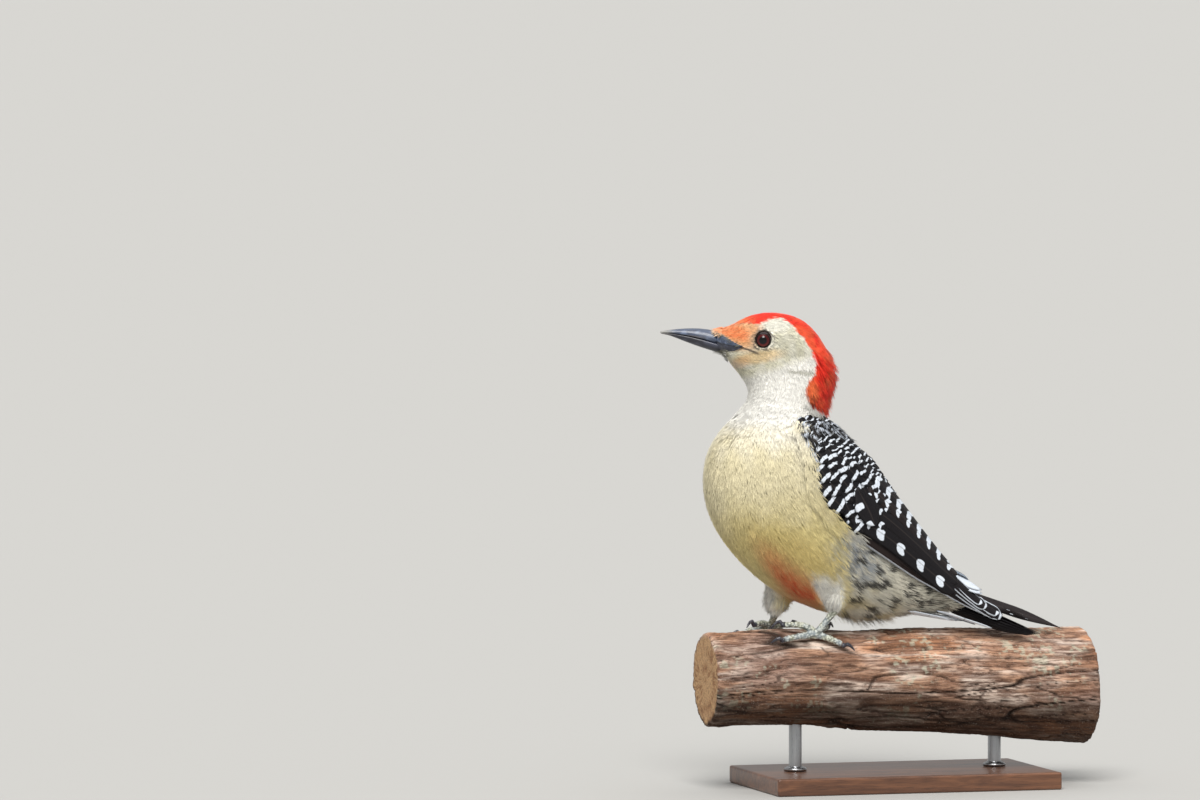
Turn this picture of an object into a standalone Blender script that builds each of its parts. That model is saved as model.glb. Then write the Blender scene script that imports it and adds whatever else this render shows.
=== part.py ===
"""A male red-bellied woodpecker at life size, gripping a short length of branch on a plain stand.

Blender 4.5, metres, +Z up. The bird looks along -X, parallel to the branch, and its left side is -Y.
Every size below is in millimetres, and heights count from the underside of the stand.
"""

import bmesh
import bpy
import numpy as np
from mathutils import Matrix, Vector

MM = 0.001
GAP = 0.3
SEGMENTS = 20
STEPS_PER_STATION = 2
CREASE = np.radians(50)

# The body is a loft through flat stations. Distances run back from a vertical axis in the neck.
NECK_X, NECK_Y = -51.1, -3.0
HEAD_TURN = np.radians(-16.0)

# Name, lowest front point, highest back point (distance and height), half width, how much wider
# the section is towards its back, and the share of the head's turn that it takes.
HEAD = (
    ("bill base", (-29.9, 198.5), (-35.0, 211.2), 5.5, 0.00, 1.0),
    ("lore", (-28.1, 194.8), (-28.1, 213.1), 8.3, 0.00, 1.0),
    ("brow", (-24.8, 191.1), (-20.2, 217.1), 10.9, 0.05, 1.0),
    ("eye", (-22.5, 187.9), (-12.0, 218.9), 12.6, 0.06, 1.0),
    ("crown", (-20.7, 185.1), (-2.8, 218.4), 13.6, 0.06, 1.0),
    ("hindcrown", (-20.0, 182.8), (6.1, 215.0), 14.2, 0.06, 1.0),
    ("occiput", (-20.0, 180.5), (13.3, 207.4), 14.6, 0.04, 1.0),
    ("nape", (-21.2, 177.8), (18.6, 197.0), 15.0, 0.02, 0.95),
)
NECK = (
    ("hackles", (-23.5, 175.0), (20.0, 186.6), 15.8, 0.00, 0.8),
    ("neck", (-27.1, 170.9), (17.0, 177.6), 17.2, 0.00, 0.5),
)
TRUNK = (
    ("shoulder", (-33.6, 164.6), (18.0, 170.2), 20.0, 0.00, 0.2),
    ("chest", (-39.2, 156.0), (26.8, 163.2), 23.5, -0.05, 0.0),
    ("breast", (-41.6, 145.6), (33.4, 155.3), 26.0, -0.08, 0.0),
    ("keel", (-40.7, 132.8), (39.0, 147.0), 27.2, -0.10, 0.0),
    ("upper belly", (-36.3, 120.8), (45.2, 138.1), 27.2, -0.10, 0.0),
    ("belly", (-28.8, 109.8), (51.9, 128.4), 26.4, -0.08, 0.0),
    ("flank", (-18.8, 99.5), (59.1, 118.3), 25.0, -0.06, 0.0),
    ("groin", (-6.4, 90.5), (65.9, 109.5), 22.5, -0.04, 0.0),
    ("vent", (12.5, 82.0), (72.3, 102.5), 19.0, 0.00, 0.0),
    ("crissum", (34.0, 77.8), (77.8, 97.3), 15.5, 0.00, 0.0),
    ("tail coverts", (55.2, 79.9), (83.8, 94.0), 12.3, 0.00, 0.0),
    ("covert tips", (76.0, 80.2), (91.5, 89.4), 9.0, 0.00, 0.0),
)

# A folded wing lies on the trunk's stations from the shoulder to the vent, then on its own.
WING_ON_TRUNK = (
    ("shoulder", 24, 75),
    ("chest", 17, 79),
    ("breast", 16, 84),
    ("keel", 14, 85),
    ("upper belly", 13, 85),
    ("belly", 12, 81),
    ("flank", 11, 74),
    ("groin", 13, 70),
    ("vent", 17, 71),
)
WING_BEHIND = (
    ((35.0, 80.0), (76.6, 98.3), 17.4, 23, 78),
    ((53.0, 76.0), (80.6, 95.2), 15.2, 32, 88),
    ((73.5, 72.0), (87.6, 88.0), 13.2, 46, 92),
    ((94.0, 73.0), (100.4, 79.6), 11.8, 66, 88),
)
WING_LIFT = 0.6
WING_EDGE, WING_CORE = 0.8, 2.7
COVERTS_END, COVERTS_GAP = 6.0, 0.06
COVERTS_RINGS, FLIGHT_RINGS = 14, 13
WING_STRIPS = 8

# The upper and lower mandibles: culmen or keel point, cutting edge, half width.
BILL_UPPER = (
    ((-35.3, 210.7), (-32.8, 204.6), 4.5),
    ((-41.8, 211.5), (-41.5, 207.1), 3.5),
    ((-48.4, 211.5), (-48.3, 208.5), 2.5),
    ((-55.2, 210.9), (-55.2, 209.5), 1.5),
    ((-59.8, 210.2), (-59.9, 209.6), 0.45),
)
BILL_LOWER = (
    ((-30.9, 199.6), (-32.7, 204.2), 4.3),
    ((-41.2, 202.8), (-41.5, 206.7), 3.2),
    ((-48.6, 205.5), (-48.3, 208.1), 2.3),
    ((-55.2, 208.1), (-55.2, 209.1), 1.3),
    ((-59.4, 209.0), (-59.5, 209.25), 0.4),
)
BILL_RINGS, BILL_ARC = 9, 9

EYE_PLACE = (-12.7, 206.6)
EYE_OUT, EYE_RADIUS = 9.6, 4.2
EYE_SEGMENTS = 16

# The tail's two halves, right then left: root, tip and half widths along them.
TAIL_HALVES = {
    "right": ((34.6, -2.3, 87.0), (75.8, -11.0, 72.4)),
    "left": ((33.0, -9.3, 82.0), (62.6, -19.5, 68.2)),
}
TAIL_ROLL = np.radians(38.0)
TAIL_HALF_WIDTHS = (3.7, 4.5, 4.8, 4.2, 2.9, 0.7)
TAIL_HALF_THICKNESS = (2.6, 1.7, 1.1, 0.8, 0.6, 0.4)
TAIL_SEGMENTS = 12

# The branch: its ends, the height of its top and its radius at each end, and its slow swells.
PERCH_END = 90.9
PERCH_TOP = (74.1, 72.4)
PERCH_RADII = (22.8, 28.1)
PERCH_SWELL = 0.5
PERCH_SEGMENTS = 32
PERCH_STATIONS = 17

# Feet: the hub and the toe ends are places on the branch, (x, degrees towards the bird's left
# from the top), and each toe also has the heights of its knuckle and its end over the bark.
FEET = {
    "left": {
        "knee": (-28.5, -14.5, 102.0),
        "ankle": (-34.3, -17.0, 84.3),
        "hub": (-42.6, 34.0),
        "toes": (
            ((-55.4, 19.0), 5.2, 3.6),
            ((-58.3, 40.5), 2.6, 1.7),
            ((-31.6, 46.5), 2.5, 1.7),
            ((-35.0, 15.0), 2.4, 1.7),
        ),
    },
    "right": {
        "knee": (-49.5, 7.5, 101.0),
        "ankle": (-56.0, 5.0, 81.5),
        "hub": (-56.5, -27.0),
        "toes": (
            ((-65.5, -12.0), 3.4, 2.2),
            ((-68.5, -36.0), 2.6, 1.7),
            ((-45.6, -42.0), 2.5, 1.7),
            ((-50.0, -12.0), 2.2, 1.7),
        ),
    },
}
THIGH_ROOT, THIGH_END = 9.2, 2.5
THIGH_RINGS, THIGH_SEGMENTS = 9, 14
SHANK_RADIUS, HEEL = 1.75, 2.0
SHANK_SWELL = (1.1, 1.15, 0.9, 1.0, 1.1)
PALM_RADIUS, PALM_SEGMENTS = 2.1, 12
TOE_RADII, TOE_STEPS = (1.75, 1.35), 6
HUB_LIFT = 2.5
CLAW_RADIUS, CLAW_POINT = 1.0, 0.28
CLAW_REACH, CLAW_ROOT = 6.6, 1.2
CLAW_ARCH, CLAW_REST = 1.2, 0.65

BASE_SIZE = (136.0, 78.0, 8.0)
BASE_BEVEL = 1.2
ROD_RADIUS, ROD_SEGMENTS = 3.0, 24
ROD_PLACES = {"stand_rod_front": -48.0, "stand_rod_back": 48.0}

# Colour, roughness and metallic value of each material.
FINISHES = {
    "red_feathers": ((0.80, 0.06, 0.03), 0.75, 0.0),
    "pale_feathers": ((0.78, 0.72, 0.55), 0.8, 0.0),
    "barred_feathers": ((0.06, 0.06, 0.065), 0.6, 0.0),
    "tail_feathers": ((0.03, 0.028, 0.028), 0.5, 0.0),
    "horn": ((0.09, 0.10, 0.12), 0.4, 0.0),
    "claw": ((0.10, 0.10, 0.11), 0.35, 0.0),
    "scaled_skin": ((0.36, 0.38, 0.36), 0.6, 0.0),
    "eye": ((0.12, 0.01, 0.01), 0.08, 0.0),
    "bark": ((0.33, 0.22, 0.16), 0.9, 0.0),
    "stand_wood": ((0.10, 0.06, 0.04), 0.45, 0.0),
    "stand_metal": ((0.55, 0.53, 0.50), 0.35, 1.0),
}


def clear_scene():
    for obj in list(bpy.data.objects):
        bpy.data.objects.remove(obj, do_unlink=True)


def new_collection(name):
    collection = bpy.data.collections.new(name)
    bpy.context.scene.collection.children.link(collection)
    return collection


def new_material(name):
    colour, roughness, metallic = FINISHES[name]
    material = bpy.data.materials.new(name)
    material.use_nodes = True
    shader = material.node_tree.nodes["Principled BSDF"]
    shader.inputs["Base Color"].default_value = (*colour, 1.0)
    shader.inputs["Roughness"].default_value = roughness
    shader.inputs["Metallic"].default_value = metallic
    return material


def add_mesh(name, mesh, collection, material):
    obj = bpy.data.objects.new(name, mesh)
    collection.objects.link(obj)
    mesh.materials.append(material)
    mesh.shade_smooth()
    mesh.set_sharp_from_angle(angle=CREASE)
    return obj


def between(rows, place):
    """A smooth curve through rows of numbers, read at a place counted in rows."""
    rows = np.asarray(rows, float)
    start = min(int(place), len(rows) - 2)
    t = place - start
    before = rows[max(start - 1, 0)]
    first, last = rows[start], rows[start + 1]
    after = rows[min(start + 2, len(rows) - 1)]
    slope_in, slope_out = (last - before) / 2, (after - first) / 2
    blend = 3 * t**2 - 2 * t**3
    return (
        first * (1 - blend)
        + last * blend
        + slope_in * (t - 2 * t**2 + t**3)
        + slope_out * (t**3 - t**2)
    )


def flat_row(station):
    """Numbers of a station: front, back, half width, fuller towards the back, turn."""
    _, front, back, half_width, fuller, turn = station
    return (*front, *back, half_width, fuller, turn * HEAD_TURN)


def on_body(distance, height, out, turn):
    """The place that far behind the neck's axis and out to the bird's left."""
    x = NECK_X + distance * np.cos(turn) + out * np.sin(turn)
    y = NECK_Y + distance * np.sin(turn) - out * np.cos(turn)
    return Vector((x, y, height))


def section(row):
    """Centre, half the front-to-back line, and the half width of a body section, as vectors."""
    front_d, front_z, back_d, back_z, half_width, _, turn = row
    front, back = on_body(front_d, front_z, 0, turn), on_body(back_d, back_z, 0, turn)
    centre = (front + back) / 2
    return centre, back - centre, on_body(0, 0, half_width, turn) - on_body(0, 0, 0, turn)


def section_point(row, angle, lift=0.0):
    """The surface at an angle from the back, positive to the bird's left, raised by the lift."""
    centre, back, side = section(row)
    fuller = 1 + row[5] * np.cos(angle)
    out = back.normalized() * np.cos(angle) + side.normalized() * np.sin(angle)
    return centre + back * np.cos(angle) + side * (fuller * np.sin(angle)) + out * lift


def section_ring(row, slide=0.0, lift=0.0):
    """One ring of a body loft, slid along the body by a small distance."""
    _, back, side = section(row)
    along = back.cross(side).normalized() * slide
    angles = np.linspace(0, 2 * np.pi, SEGMENTS, endpoint=False)
    return [section_point(row, angle, lift) + along for angle in angles]


def loft(name, rings, collection, material):
    """A closed solid through rings of equally many points."""
    shape = bmesh.new()
    layers = [[shape.verts.new(point * MM) for point in ring] for ring in rings]
    count = len(layers[0])
    for lower, upper in zip(layers, layers[1:]):
        for i in range(count):
            j = (i + 1) % count
            shape.faces.new((lower[i], lower[j], upper[j], upper[i]))
    shape.faces.new(layers[0])
    shape.faces.new(layers[-1])
    bmesh.ops.recalc_face_normals(shape, faces=shape.faces)
    mesh = bpy.data.meshes.new(name)
    shape.to_mesh(mesh)
    shape.free()
    return add_mesh(name, mesh, collection, material)


def body_length(name, first, last, collection, material, lift=0.0):
    """The body's loft between two stations, half a gap short at each end, or larger by the lift."""
    rows = [flat_row(station) for station in HEAD + NECK + TRUNK]
    rings = []
    for place in np.linspace(first, last, (last - first) * STEPS_PER_STATION + 1):
        slide = {first: GAP / 2 - lift, last: lift - GAP / 2}.get(place, 0.0)
        rings.append(section_ring(between(rows, place), slide, lift))
    return loft(name, rings, collection, material)


def tube(name, points, radii, collection, material):
    """A round tapering tube with filled caps, turned into a mesh so that it can be joined."""
    curve = bpy.data.curves.new(name, "CURVE")
    curve.dimensions = "3D"
    curve.bevel_depth = MM
    curve.bevel_resolution = 2
    curve.use_fill_caps = True
    spline = curve.splines.new("POLY")
    spline.points.add(len(points) - 1)
    for target, point, radius in zip(spline.points, points, radii):
        target.co = (*(Vector(point) * MM), 1.0)
        target.radius = radius
    guide = bpy.data.objects.new(name, curve)
    collection.objects.link(guide)
    bpy.context.view_layer.update()
    evaluated = guide.evaluated_get(bpy.context.evaluated_depsgraph_get())
    mesh = bpy.data.meshes.new_from_object(evaluated)
    bpy.data.objects.remove(guide)
    shape = bmesh.new()
    shape.from_mesh(mesh)
    bmesh.ops.remove_doubles(shape, verts=shape.verts, dist=0.00001)
    bmesh.ops.recalc_face_normals(shape, faces=shape.faces)
    shape.to_mesh(mesh)
    shape.free()
    mesh.materials.clear()
    return add_mesh(name, mesh, collection, material)


def ball(name, centre, radius, segments, collection, material):
    shape = bmesh.new()
    rows = segments * 5 // 8
    bmesh.ops.create_uvsphere(shape, u_segments=segments, v_segments=rows, radius=radius * MM)
    mesh = bpy.data.meshes.new(name)
    shape.to_mesh(mesh)
    shape.free()
    obj = add_mesh(name, mesh, collection, material)
    obj.location = Vector(centre) * MM
    return obj


def combine(target, operation, other):
    other.hide_render = True
    other.display_type = "WIRE"
    modifier = target.modifiers.new(operation.lower() + "_" + other.name, "BOOLEAN")
    modifier.operation = operation
    modifier.solver = "EXACT"
    modifier.object = other


def perch_point(x, degrees, lift=0.0):
    """A point over the bark: x along the branch, degrees from the top towards the bird's left."""
    share = (x + PERCH_END) / (2 * PERCH_END)
    angle = np.radians(degrees)
    swell = PERCH_SWELL * np.sin(x / 19.0 + 2 * np.sin(angle)) * np.cos(x / 31.0 - angle)
    thin, thick = PERCH_RADII
    radius = thin + (thick - thin) * share**2
    axis_height = np.interp(share, (0, 1), PERCH_TOP) - radius
    out = radius + swell + lift
    return Vector((x, -out * np.sin(angle), axis_height + out * np.cos(angle)))


def build_body(parts, cutters, materials):
    """Head with its eye sockets, neck and trunk, and a slightly larger trunk that cuts the legs."""
    nape = len(HEAD) - 1
    shoulder = nape + len(NECK) + 1
    covert_tips = shoulder + len(TRUNK) - 1
    head = body_length("head", 0, nape, parts, materials["red_feathers"])
    body_length("neck", nape, shoulder, parts, materials["pale_feathers"])
    body_length("trunk", shoulder, covert_tips, parts, materials["pale_feathers"])
    room = body_length("room_for_trunk", shoulder, covert_tips, cutters, materials["pale_feathers"], GAP)
    for side, out in (("left", EYE_OUT), ("right", -EYE_OUT)):
        centre = on_body(*EYE_PLACE, out, HEAD_TURN)
        ball("eye_" + side, centre, EYE_RADIUS, EYE_SEGMENTS, parts, materials["eye"])
        socket = ball("socket_" + side, centre, EYE_RADIUS + GAP, EYE_SEGMENTS, cutters, materials["eye"])
        combine(head, "DIFFERENCE", socket)
    return room


def build_bill(parts, materials):
    """Two mandibles, each flat along its cutting edge and round on its outer side."""
    for name, stations in (("bill_upper", BILL_UPPER), ("bill_lower", BILL_LOWER)):
        rows = [(*outer, *edge, half_width) for outer, edge, half_width in stations]
        rings = []
        for place in np.linspace(0, len(rows) - 1, BILL_RINGS):
            outer_d, outer_z, edge_d, edge_z, half_width = between(rows, place)
            edge = on_body(edge_d, edge_z, 0, HEAD_TURN)
            rise = on_body(outer_d, outer_z, 0, HEAD_TURN) - edge
            side = on_body(0, 0, half_width, HEAD_TURN) - on_body(0, 0, 0, HEAD_TURN)
            angles = np.linspace(0, np.pi, BILL_ARC)
            rings.append([edge + side * np.cos(angle) + rise * np.sin(angle) for angle in angles])
        loft(name, rings, parts, materials["horn"])


def wing_rows():
    """The wing's stations as numbers: a body section, then the angles of its two edges."""
    stations = {station[0]: flat_row(station) for station in TRUNK}
    rows = [(*stations[name], upper, lower) for name, upper, lower in WING_ON_TRUNK]
    for front, back, half_width, upper, lower in WING_BEHIND:
        rows.append((*front, *back, half_width, 0.0, 0.0, upper, lower))
    return rows


def build_wing(side, sign, parts, materials):
    """A folded wing in two lengths, coverts and flight feathers, each a curved shell."""
    rows = wing_rows()
    tip = len(rows) - 1
    lengths = (
        ("wing_" + side, 0, COVERTS_END - COVERTS_GAP / 2, COVERTS_RINGS),
        ("flight_feathers_" + side, COVERTS_END + COVERTS_GAP / 2, tip, FLIGHT_RINGS),
    )
    for name, first, last, count in lengths:
        rings = []
        for place in np.linspace(first, last, count):
            *row, upper, lower = between(rows, place)
            shares = np.linspace(0, 1, WING_STRIPS + 1)
            angles = np.radians(upper + (lower - upper) * shares)
            fullness = min(1.0, 0.35 + place / 2, (tip - place) / 4)
            depths = WING_EDGE + (WING_CORE - WING_EDGE) * fullness * np.sin(np.pi * shares) ** 0.7
            inner = [section_point(row, sign * a, WING_LIFT) for a in angles]
            outer = [section_point(row, sign * a, WING_LIFT + d) for a, d in zip(angles, depths)]
            rings.append(outer + inner[::-1])
        loft(name, rings, parts, materials["barred_feathers"])


def build_tail(room, parts, materials):
    """Two spread halves of stiff feathers, rolled so that the left one hangs lower."""
    across = Vector((0, -np.cos(TAIL_ROLL), -np.sin(TAIL_ROLL)))
    for side, (root, tip) in TAIL_HALVES.items():
        root, tip = Vector(root), Vector(tip)
        along = (tip - root).normalized()
        up = along.cross(across).normalized()
        width_way = up.cross(along)
        rings = []
        last = len(TAIL_HALF_WIDTHS) - 1
        for place in np.linspace(0, last, 2 * last + 1):
            half_width = between([(w,) for w in TAIL_HALF_WIDTHS], place)[0]
            half_depth = between([(t,) for t in TAIL_HALF_THICKNESS], place)[0]
            centre = root.lerp(tip, place / last)
            angles = np.linspace(0, 2 * np.pi, TAIL_SEGMENTS, endpoint=False)
            spread, rise = width_way * half_width, up * half_depth
            rings.append([centre + spread * np.cos(a) + rise * np.sin(a) for a in angles])
        half = loft("tail_" + side, rings, parts, materials["tail_feathers"])
        combine(half, "DIFFERENCE", room)


def build_thigh(side, foot, room, parts, materials):
    """The loose feathers round the shin, from the flank down to the ankle."""
    knee, ankle = Vector(foot["knee"]), Vector(foot["ankle"])
    along = (ankle - knee).normalized()
    out = Vector((0, 0, 1)).cross(along).normalized()
    up = along.cross(out)
    rings = []
    for share in np.linspace(0, 1, THIGH_RINGS):
        radius = THIGH_ROOT * (1 - share) ** 0.75 + THIGH_END
        centre = knee.lerp(ankle, share)
        angles = np.linspace(0, 2 * np.pi, THIGH_SEGMENTS, endpoint=False)
        rings.append([centre + (out * np.cos(a) + up * np.sin(a)) * radius for a in angles])
    thigh = loft("thigh_" + side, rings, parts, materials["pale_feathers"])
    combine(thigh, "DIFFERENCE", room)


def toe_path(hub, end, knuckle, end_lift, share):
    """A place along a toe, from the hub to its end, bent up at the knuckle, and its radius."""
    x = hub[0] + (end[0] - hub[0]) * share
    degrees = hub[1] + (end[1] - hub[1]) * share
    rest = HUB_LIFT + (end_lift - HUB_LIFT) * share
    lift = rest + (knuckle - rest) * np.sin(np.pi * share**0.8)
    return perch_point(x, degrees, lift), TOE_RADII[0] + (TOE_RADII[1] - TOE_RADII[0]) * share


def build_foot(side, foot, parts, cutters, materials):
    """Shank and four toes as one piece, two toes to the front and two to the back."""
    hub = foot["hub"]
    hub_point = perch_point(*hub, HUB_LIFT)
    ankle = Vector(foot["ankle"])
    shin = (ankle - Vector(foot["knee"])).normalized()
    heel = ankle + shin * HEEL
    places = [ankle + shin * GAP, heel, heel.lerp(hub_point, 0.35), heel.lerp(hub_point, 0.8), hub_point]
    radii = [SHANK_RADIUS * swell for swell in SHANK_SWELL]
    leg = tube("foot_" + side, places, radii, parts, materials["scaled_skin"])
    palm = ball("palm_" + side, hub_point, PALM_RADIUS, PALM_SEGMENTS, cutters, materials["scaled_skin"])
    combine(leg, "UNION", palm)
    for number, (end, knuckle, end_lift) in enumerate(foot["toes"], start=1):
        steps = [toe_path(hub, end, knuckle, end_lift, share) for share in np.linspace(0, 1, TOE_STEPS)]
        points, toe_radii = zip(*steps)
        toe = tube(f"toe_{side}_{number}", points, toe_radii, cutters, materials["scaled_skin"])
        combine(leg, "UNION", toe)
        heading = (points[-1] - points[-2]).normalized()
        root = (points[-1], heading, end_lift)
        build_claw(f"claw_{side}_{number}", hub, end, root, parts, materials)


def build_claw(name, hub, end, root, parts, materials):
    """A curved claw that goes straight on from the toe, arches and comes down to the bark."""
    toe_end, heading, end_lift = root
    run, turn = end[0] - hub[0], end[1] - hub[1]
    reach = np.hypot(run, np.radians(turn) * PERCH_RADII[0])
    places = [toe_end + heading * GAP, toe_end + heading * (GAP + CLAW_ROOT)]
    for share in np.linspace(0.4, 1, 4):
        ahead = CLAW_REACH * share / reach
        lift = end_lift * (1 - share**2) + CLAW_ARCH * np.sin(np.pi * share) + CLAW_REST
        places.append(perch_point(end[0] + run * ahead, end[1] + turn * ahead, lift))
    radii = [CLAW_RADIUS * (1 - share) ** 0.8 + CLAW_POINT for share in np.linspace(0, 1, len(places))]
    tube(name, places, radii, parts, materials["claw"])


def build_perch(parts, materials):
    """A tapering length of branch, sawn off flat at both ends."""
    rings = []
    for x in np.linspace(-PERCH_END, PERCH_END, PERCH_STATIONS):
        degrees = np.linspace(0, 360, PERCH_SEGMENTS, endpoint=False)
        rings.append([perch_point(x, d) for d in degrees])
    loft("perch", rings, parts, materials["bark"])


def build_stand(parts, materials):
    """A flat base with bevelled edges and two rods that end just under the branch."""
    bpy.ops.mesh.primitive_cube_add(size=1, location=(0, 0, BASE_SIZE[2] / 2 * MM))
    base = bpy.context.object
    base.name = "stand_base"
    base.data.transform(Matrix.Diagonal((*BASE_SIZE, 1 / MM)) * MM)
    base.data.materials.append(materials["stand_wood"])
    bevel = base.modifiers.new("edges", "BEVEL")
    bevel.width = BASE_BEVEL * MM
    bevel.segments = 3
    move_to(base, parts)
    for name, x in ROD_PLACES.items():
        underside = min(perch_point(x + dx, 180)[2] for dx in (-ROD_RADIUS, 0, ROD_RADIUS))
        low, high = BASE_SIZE[2] + GAP, underside - GAP
        bpy.ops.mesh.primitive_cylinder_add(
            vertices=ROD_SEGMENTS,
            radius=ROD_RADIUS * MM,
            depth=(high - low) * MM,
            location=(x * MM, 0, (low + high) / 2 * MM),
        )
        rod = bpy.context.object
        rod.name = name
        rod.data.materials.append(materials["stand_metal"])
        rod.data.shade_smooth()
        rod.data.set_sharp_from_angle(angle=CREASE)
        move_to(rod, parts)


def move_to(obj, collection):
    for other in list(obj.users_collection):
        other.objects.unlink(obj)
    collection.objects.link(obj)


def main():
    clear_scene()
    parts = new_collection("woodpecker")
    cutters = new_collection("cutters")
    materials = {name: new_material(name) for name in FINISHES}
    room = build_body(parts, cutters, materials)
    build_bill(parts, materials)
    for side, sign in (("left", 1), ("right", -1)):
        build_wing(side, sign, parts, materials)
    build_tail(room, parts, materials)
    for side, foot in FEET.items():
        build_thigh(side, foot, room, parts, materials)
        build_foot(side, foot, parts, cutters, materials)
    build_perch(parts, materials)
    build_stand(parts, materials)


main()
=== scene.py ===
"""Looks of the display woodpecker: skin, feathers, eyes, bill, feet, branch, stand and studio.

Blender 4.5, metres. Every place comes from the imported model; distances written here are in
millimetres and are turned into metres where they are used.
"""

import math

import bmesh
import bpy
import numpy as np
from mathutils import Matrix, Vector
from mathutils.bvhtree import BVHTree


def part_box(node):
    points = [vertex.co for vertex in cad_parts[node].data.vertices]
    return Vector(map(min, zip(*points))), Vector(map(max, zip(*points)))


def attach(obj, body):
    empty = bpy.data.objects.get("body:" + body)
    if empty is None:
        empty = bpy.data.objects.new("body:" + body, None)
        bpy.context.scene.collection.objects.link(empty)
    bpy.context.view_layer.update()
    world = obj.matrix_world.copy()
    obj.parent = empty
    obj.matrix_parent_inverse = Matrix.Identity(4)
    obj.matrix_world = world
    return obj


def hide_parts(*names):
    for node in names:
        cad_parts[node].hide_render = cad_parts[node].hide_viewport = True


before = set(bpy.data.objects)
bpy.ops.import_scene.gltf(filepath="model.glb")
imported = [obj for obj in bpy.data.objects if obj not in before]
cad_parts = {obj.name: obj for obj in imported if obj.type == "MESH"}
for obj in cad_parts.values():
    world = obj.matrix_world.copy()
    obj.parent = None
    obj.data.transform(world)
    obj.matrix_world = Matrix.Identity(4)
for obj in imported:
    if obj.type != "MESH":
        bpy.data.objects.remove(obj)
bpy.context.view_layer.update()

MM = 0.001
UP = np.array((0.0, 0.0, 1.0))
FLESH = ("head", "neck", "trunk", "thigh_left", "thigh_right")
SIDES = {"left": -1.0, "right": 1.0}


# ---------------------------------------------------------------- small tools


def linear(red, green, blue):
    """A colour written as 0 to 255 screen values, as the light values Blender works in."""
    c = np.array((red, green, blue), float) / 255.0
    return np.where(c <= 0.04045, c / 12.92, ((c + 0.055) / 1.055) ** 2.4)


def smooth(start, end, values):
    """0 before start, 1 after end and an easy slope between; start may be the larger."""
    t = np.clip((np.asarray(values, float) - start) / (end - start), 0.0, 1.0)
    return t * t * (3.0 - 2.0 * t)


def unit(vectors):
    return vectors / np.maximum(np.linalg.norm(vectors, axis=-1, keepdims=True), 1e-12)


def blend(under, over, share):
    """A colour, or one for each point, laid over another by its share at each point."""
    return under + (over - under) * np.asarray(share)[..., None]


def painted(tone, *layers):
    """A colour with others laid over it in turn, each given with its share."""
    for colour, share in layers:
        tone = blend(tone, colour, share)
    return tone


def blob(a, b, centre, radii, tilt=0.0, soft=0.45):
    """1 inside a tilted ellipse of the plane (a, b), falling to 0 across its edge."""
    c, s = math.cos(math.radians(tilt)), math.sin(math.radians(tilt))
    da, db = a - centre[0], b - centre[1]
    reach = np.hypot((da * c + db * s) / radii[0], (db * c - da * s) / radii[1])
    return smooth(1.0 + soft, 1.0 - soft, reach)


def beyond(a, b, line):
    """Distance of the points (a, b) to a line of corners, positive on its left-hand side."""
    line = np.array(line, float)
    best = np.full(np.shape(a), 1e9)
    aside = np.zeros(np.shape(a))
    for (a0, b0), (a1, b1) in zip(line[:-1], line[1:]):
        run = np.array((a1 - a0, b1 - b0))
        t = np.clip(((a - a0) * run[0] + (b - b0) * run[1]) / (run @ run), 0.0, 1.0)
        gap = np.hypot(a - a0 - t * run[0], b - b0 - t * run[1])
        cross = (run[0] * (b - b0) - run[1] * (a - a0)) / np.hypot(*run)
        # beyond a sharp corner two stretches are equally near, and the squarer one decides
        same = np.abs(gap - best) < 1e-6
        nearer = (gap < best - 1e-6) | (same & (np.abs(cross) > np.abs(aside)))
        aside = np.where(nearer, cross, aside)
        best = np.minimum(gap, best)
    return best * np.sign(aside)


def hashed(cells, seed):
    """A repeatable number from 0 to 1 for each row of whole numbers."""
    h = np.full(len(cells), seed * 7919 + 17, np.int64)
    for axis, prime in zip(range(cells.shape[1]), (73856093, 19349663, 83492791)):
        h = (h ^ (cells[:, axis] * prime)) & 0x7FFFFFFF
        h = (h * 1103515245 + 12345) & 0x7FFFFFFF
        h ^= h >> 13
    return (h & 0xFFFFF) / float(0x100000)


def cloud(points, size, seed=0):
    """Smooth noise from 0 to 1 whose lumps are about `size` across; size may differ by axis."""
    p = points / np.asarray(size, float)
    cell = np.floor(p).astype(np.int64)
    f = p - cell
    f = f * f * (3.0 - 2.0 * f)
    total = np.zeros(len(p))
    for corner in np.ndindex(2, 2, 2):
        corner = np.array(corner)
        weight = np.prod(np.where(corner, f, 1.0 - f), axis=1)
        total += weight * hashed(cell + corner, seed)
    return total


def spots(points, size, seed=0):
    """Distance, in cells, from each point to the nearest of one scattered dot per cell."""
    p = points / np.asarray(size, float)
    cell = np.floor(p).astype(np.int64)
    best = np.full(len(p), 9.0)
    for step in np.ndindex(3, 3, 3):
        near = cell + np.array(step) - 1
        dot = near + np.stack([hashed(near, seed + k) for k in range(3)], axis=1)
        best = np.minimum(best, np.linalg.norm(p - dot, axis=1))
    return best


def placed(name, data):
    """A new object in the scene, made of the data."""
    thing = bpy.data.objects.new(name, data)
    bpy.context.scene.collection.objects.link(thing)
    return thing


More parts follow.
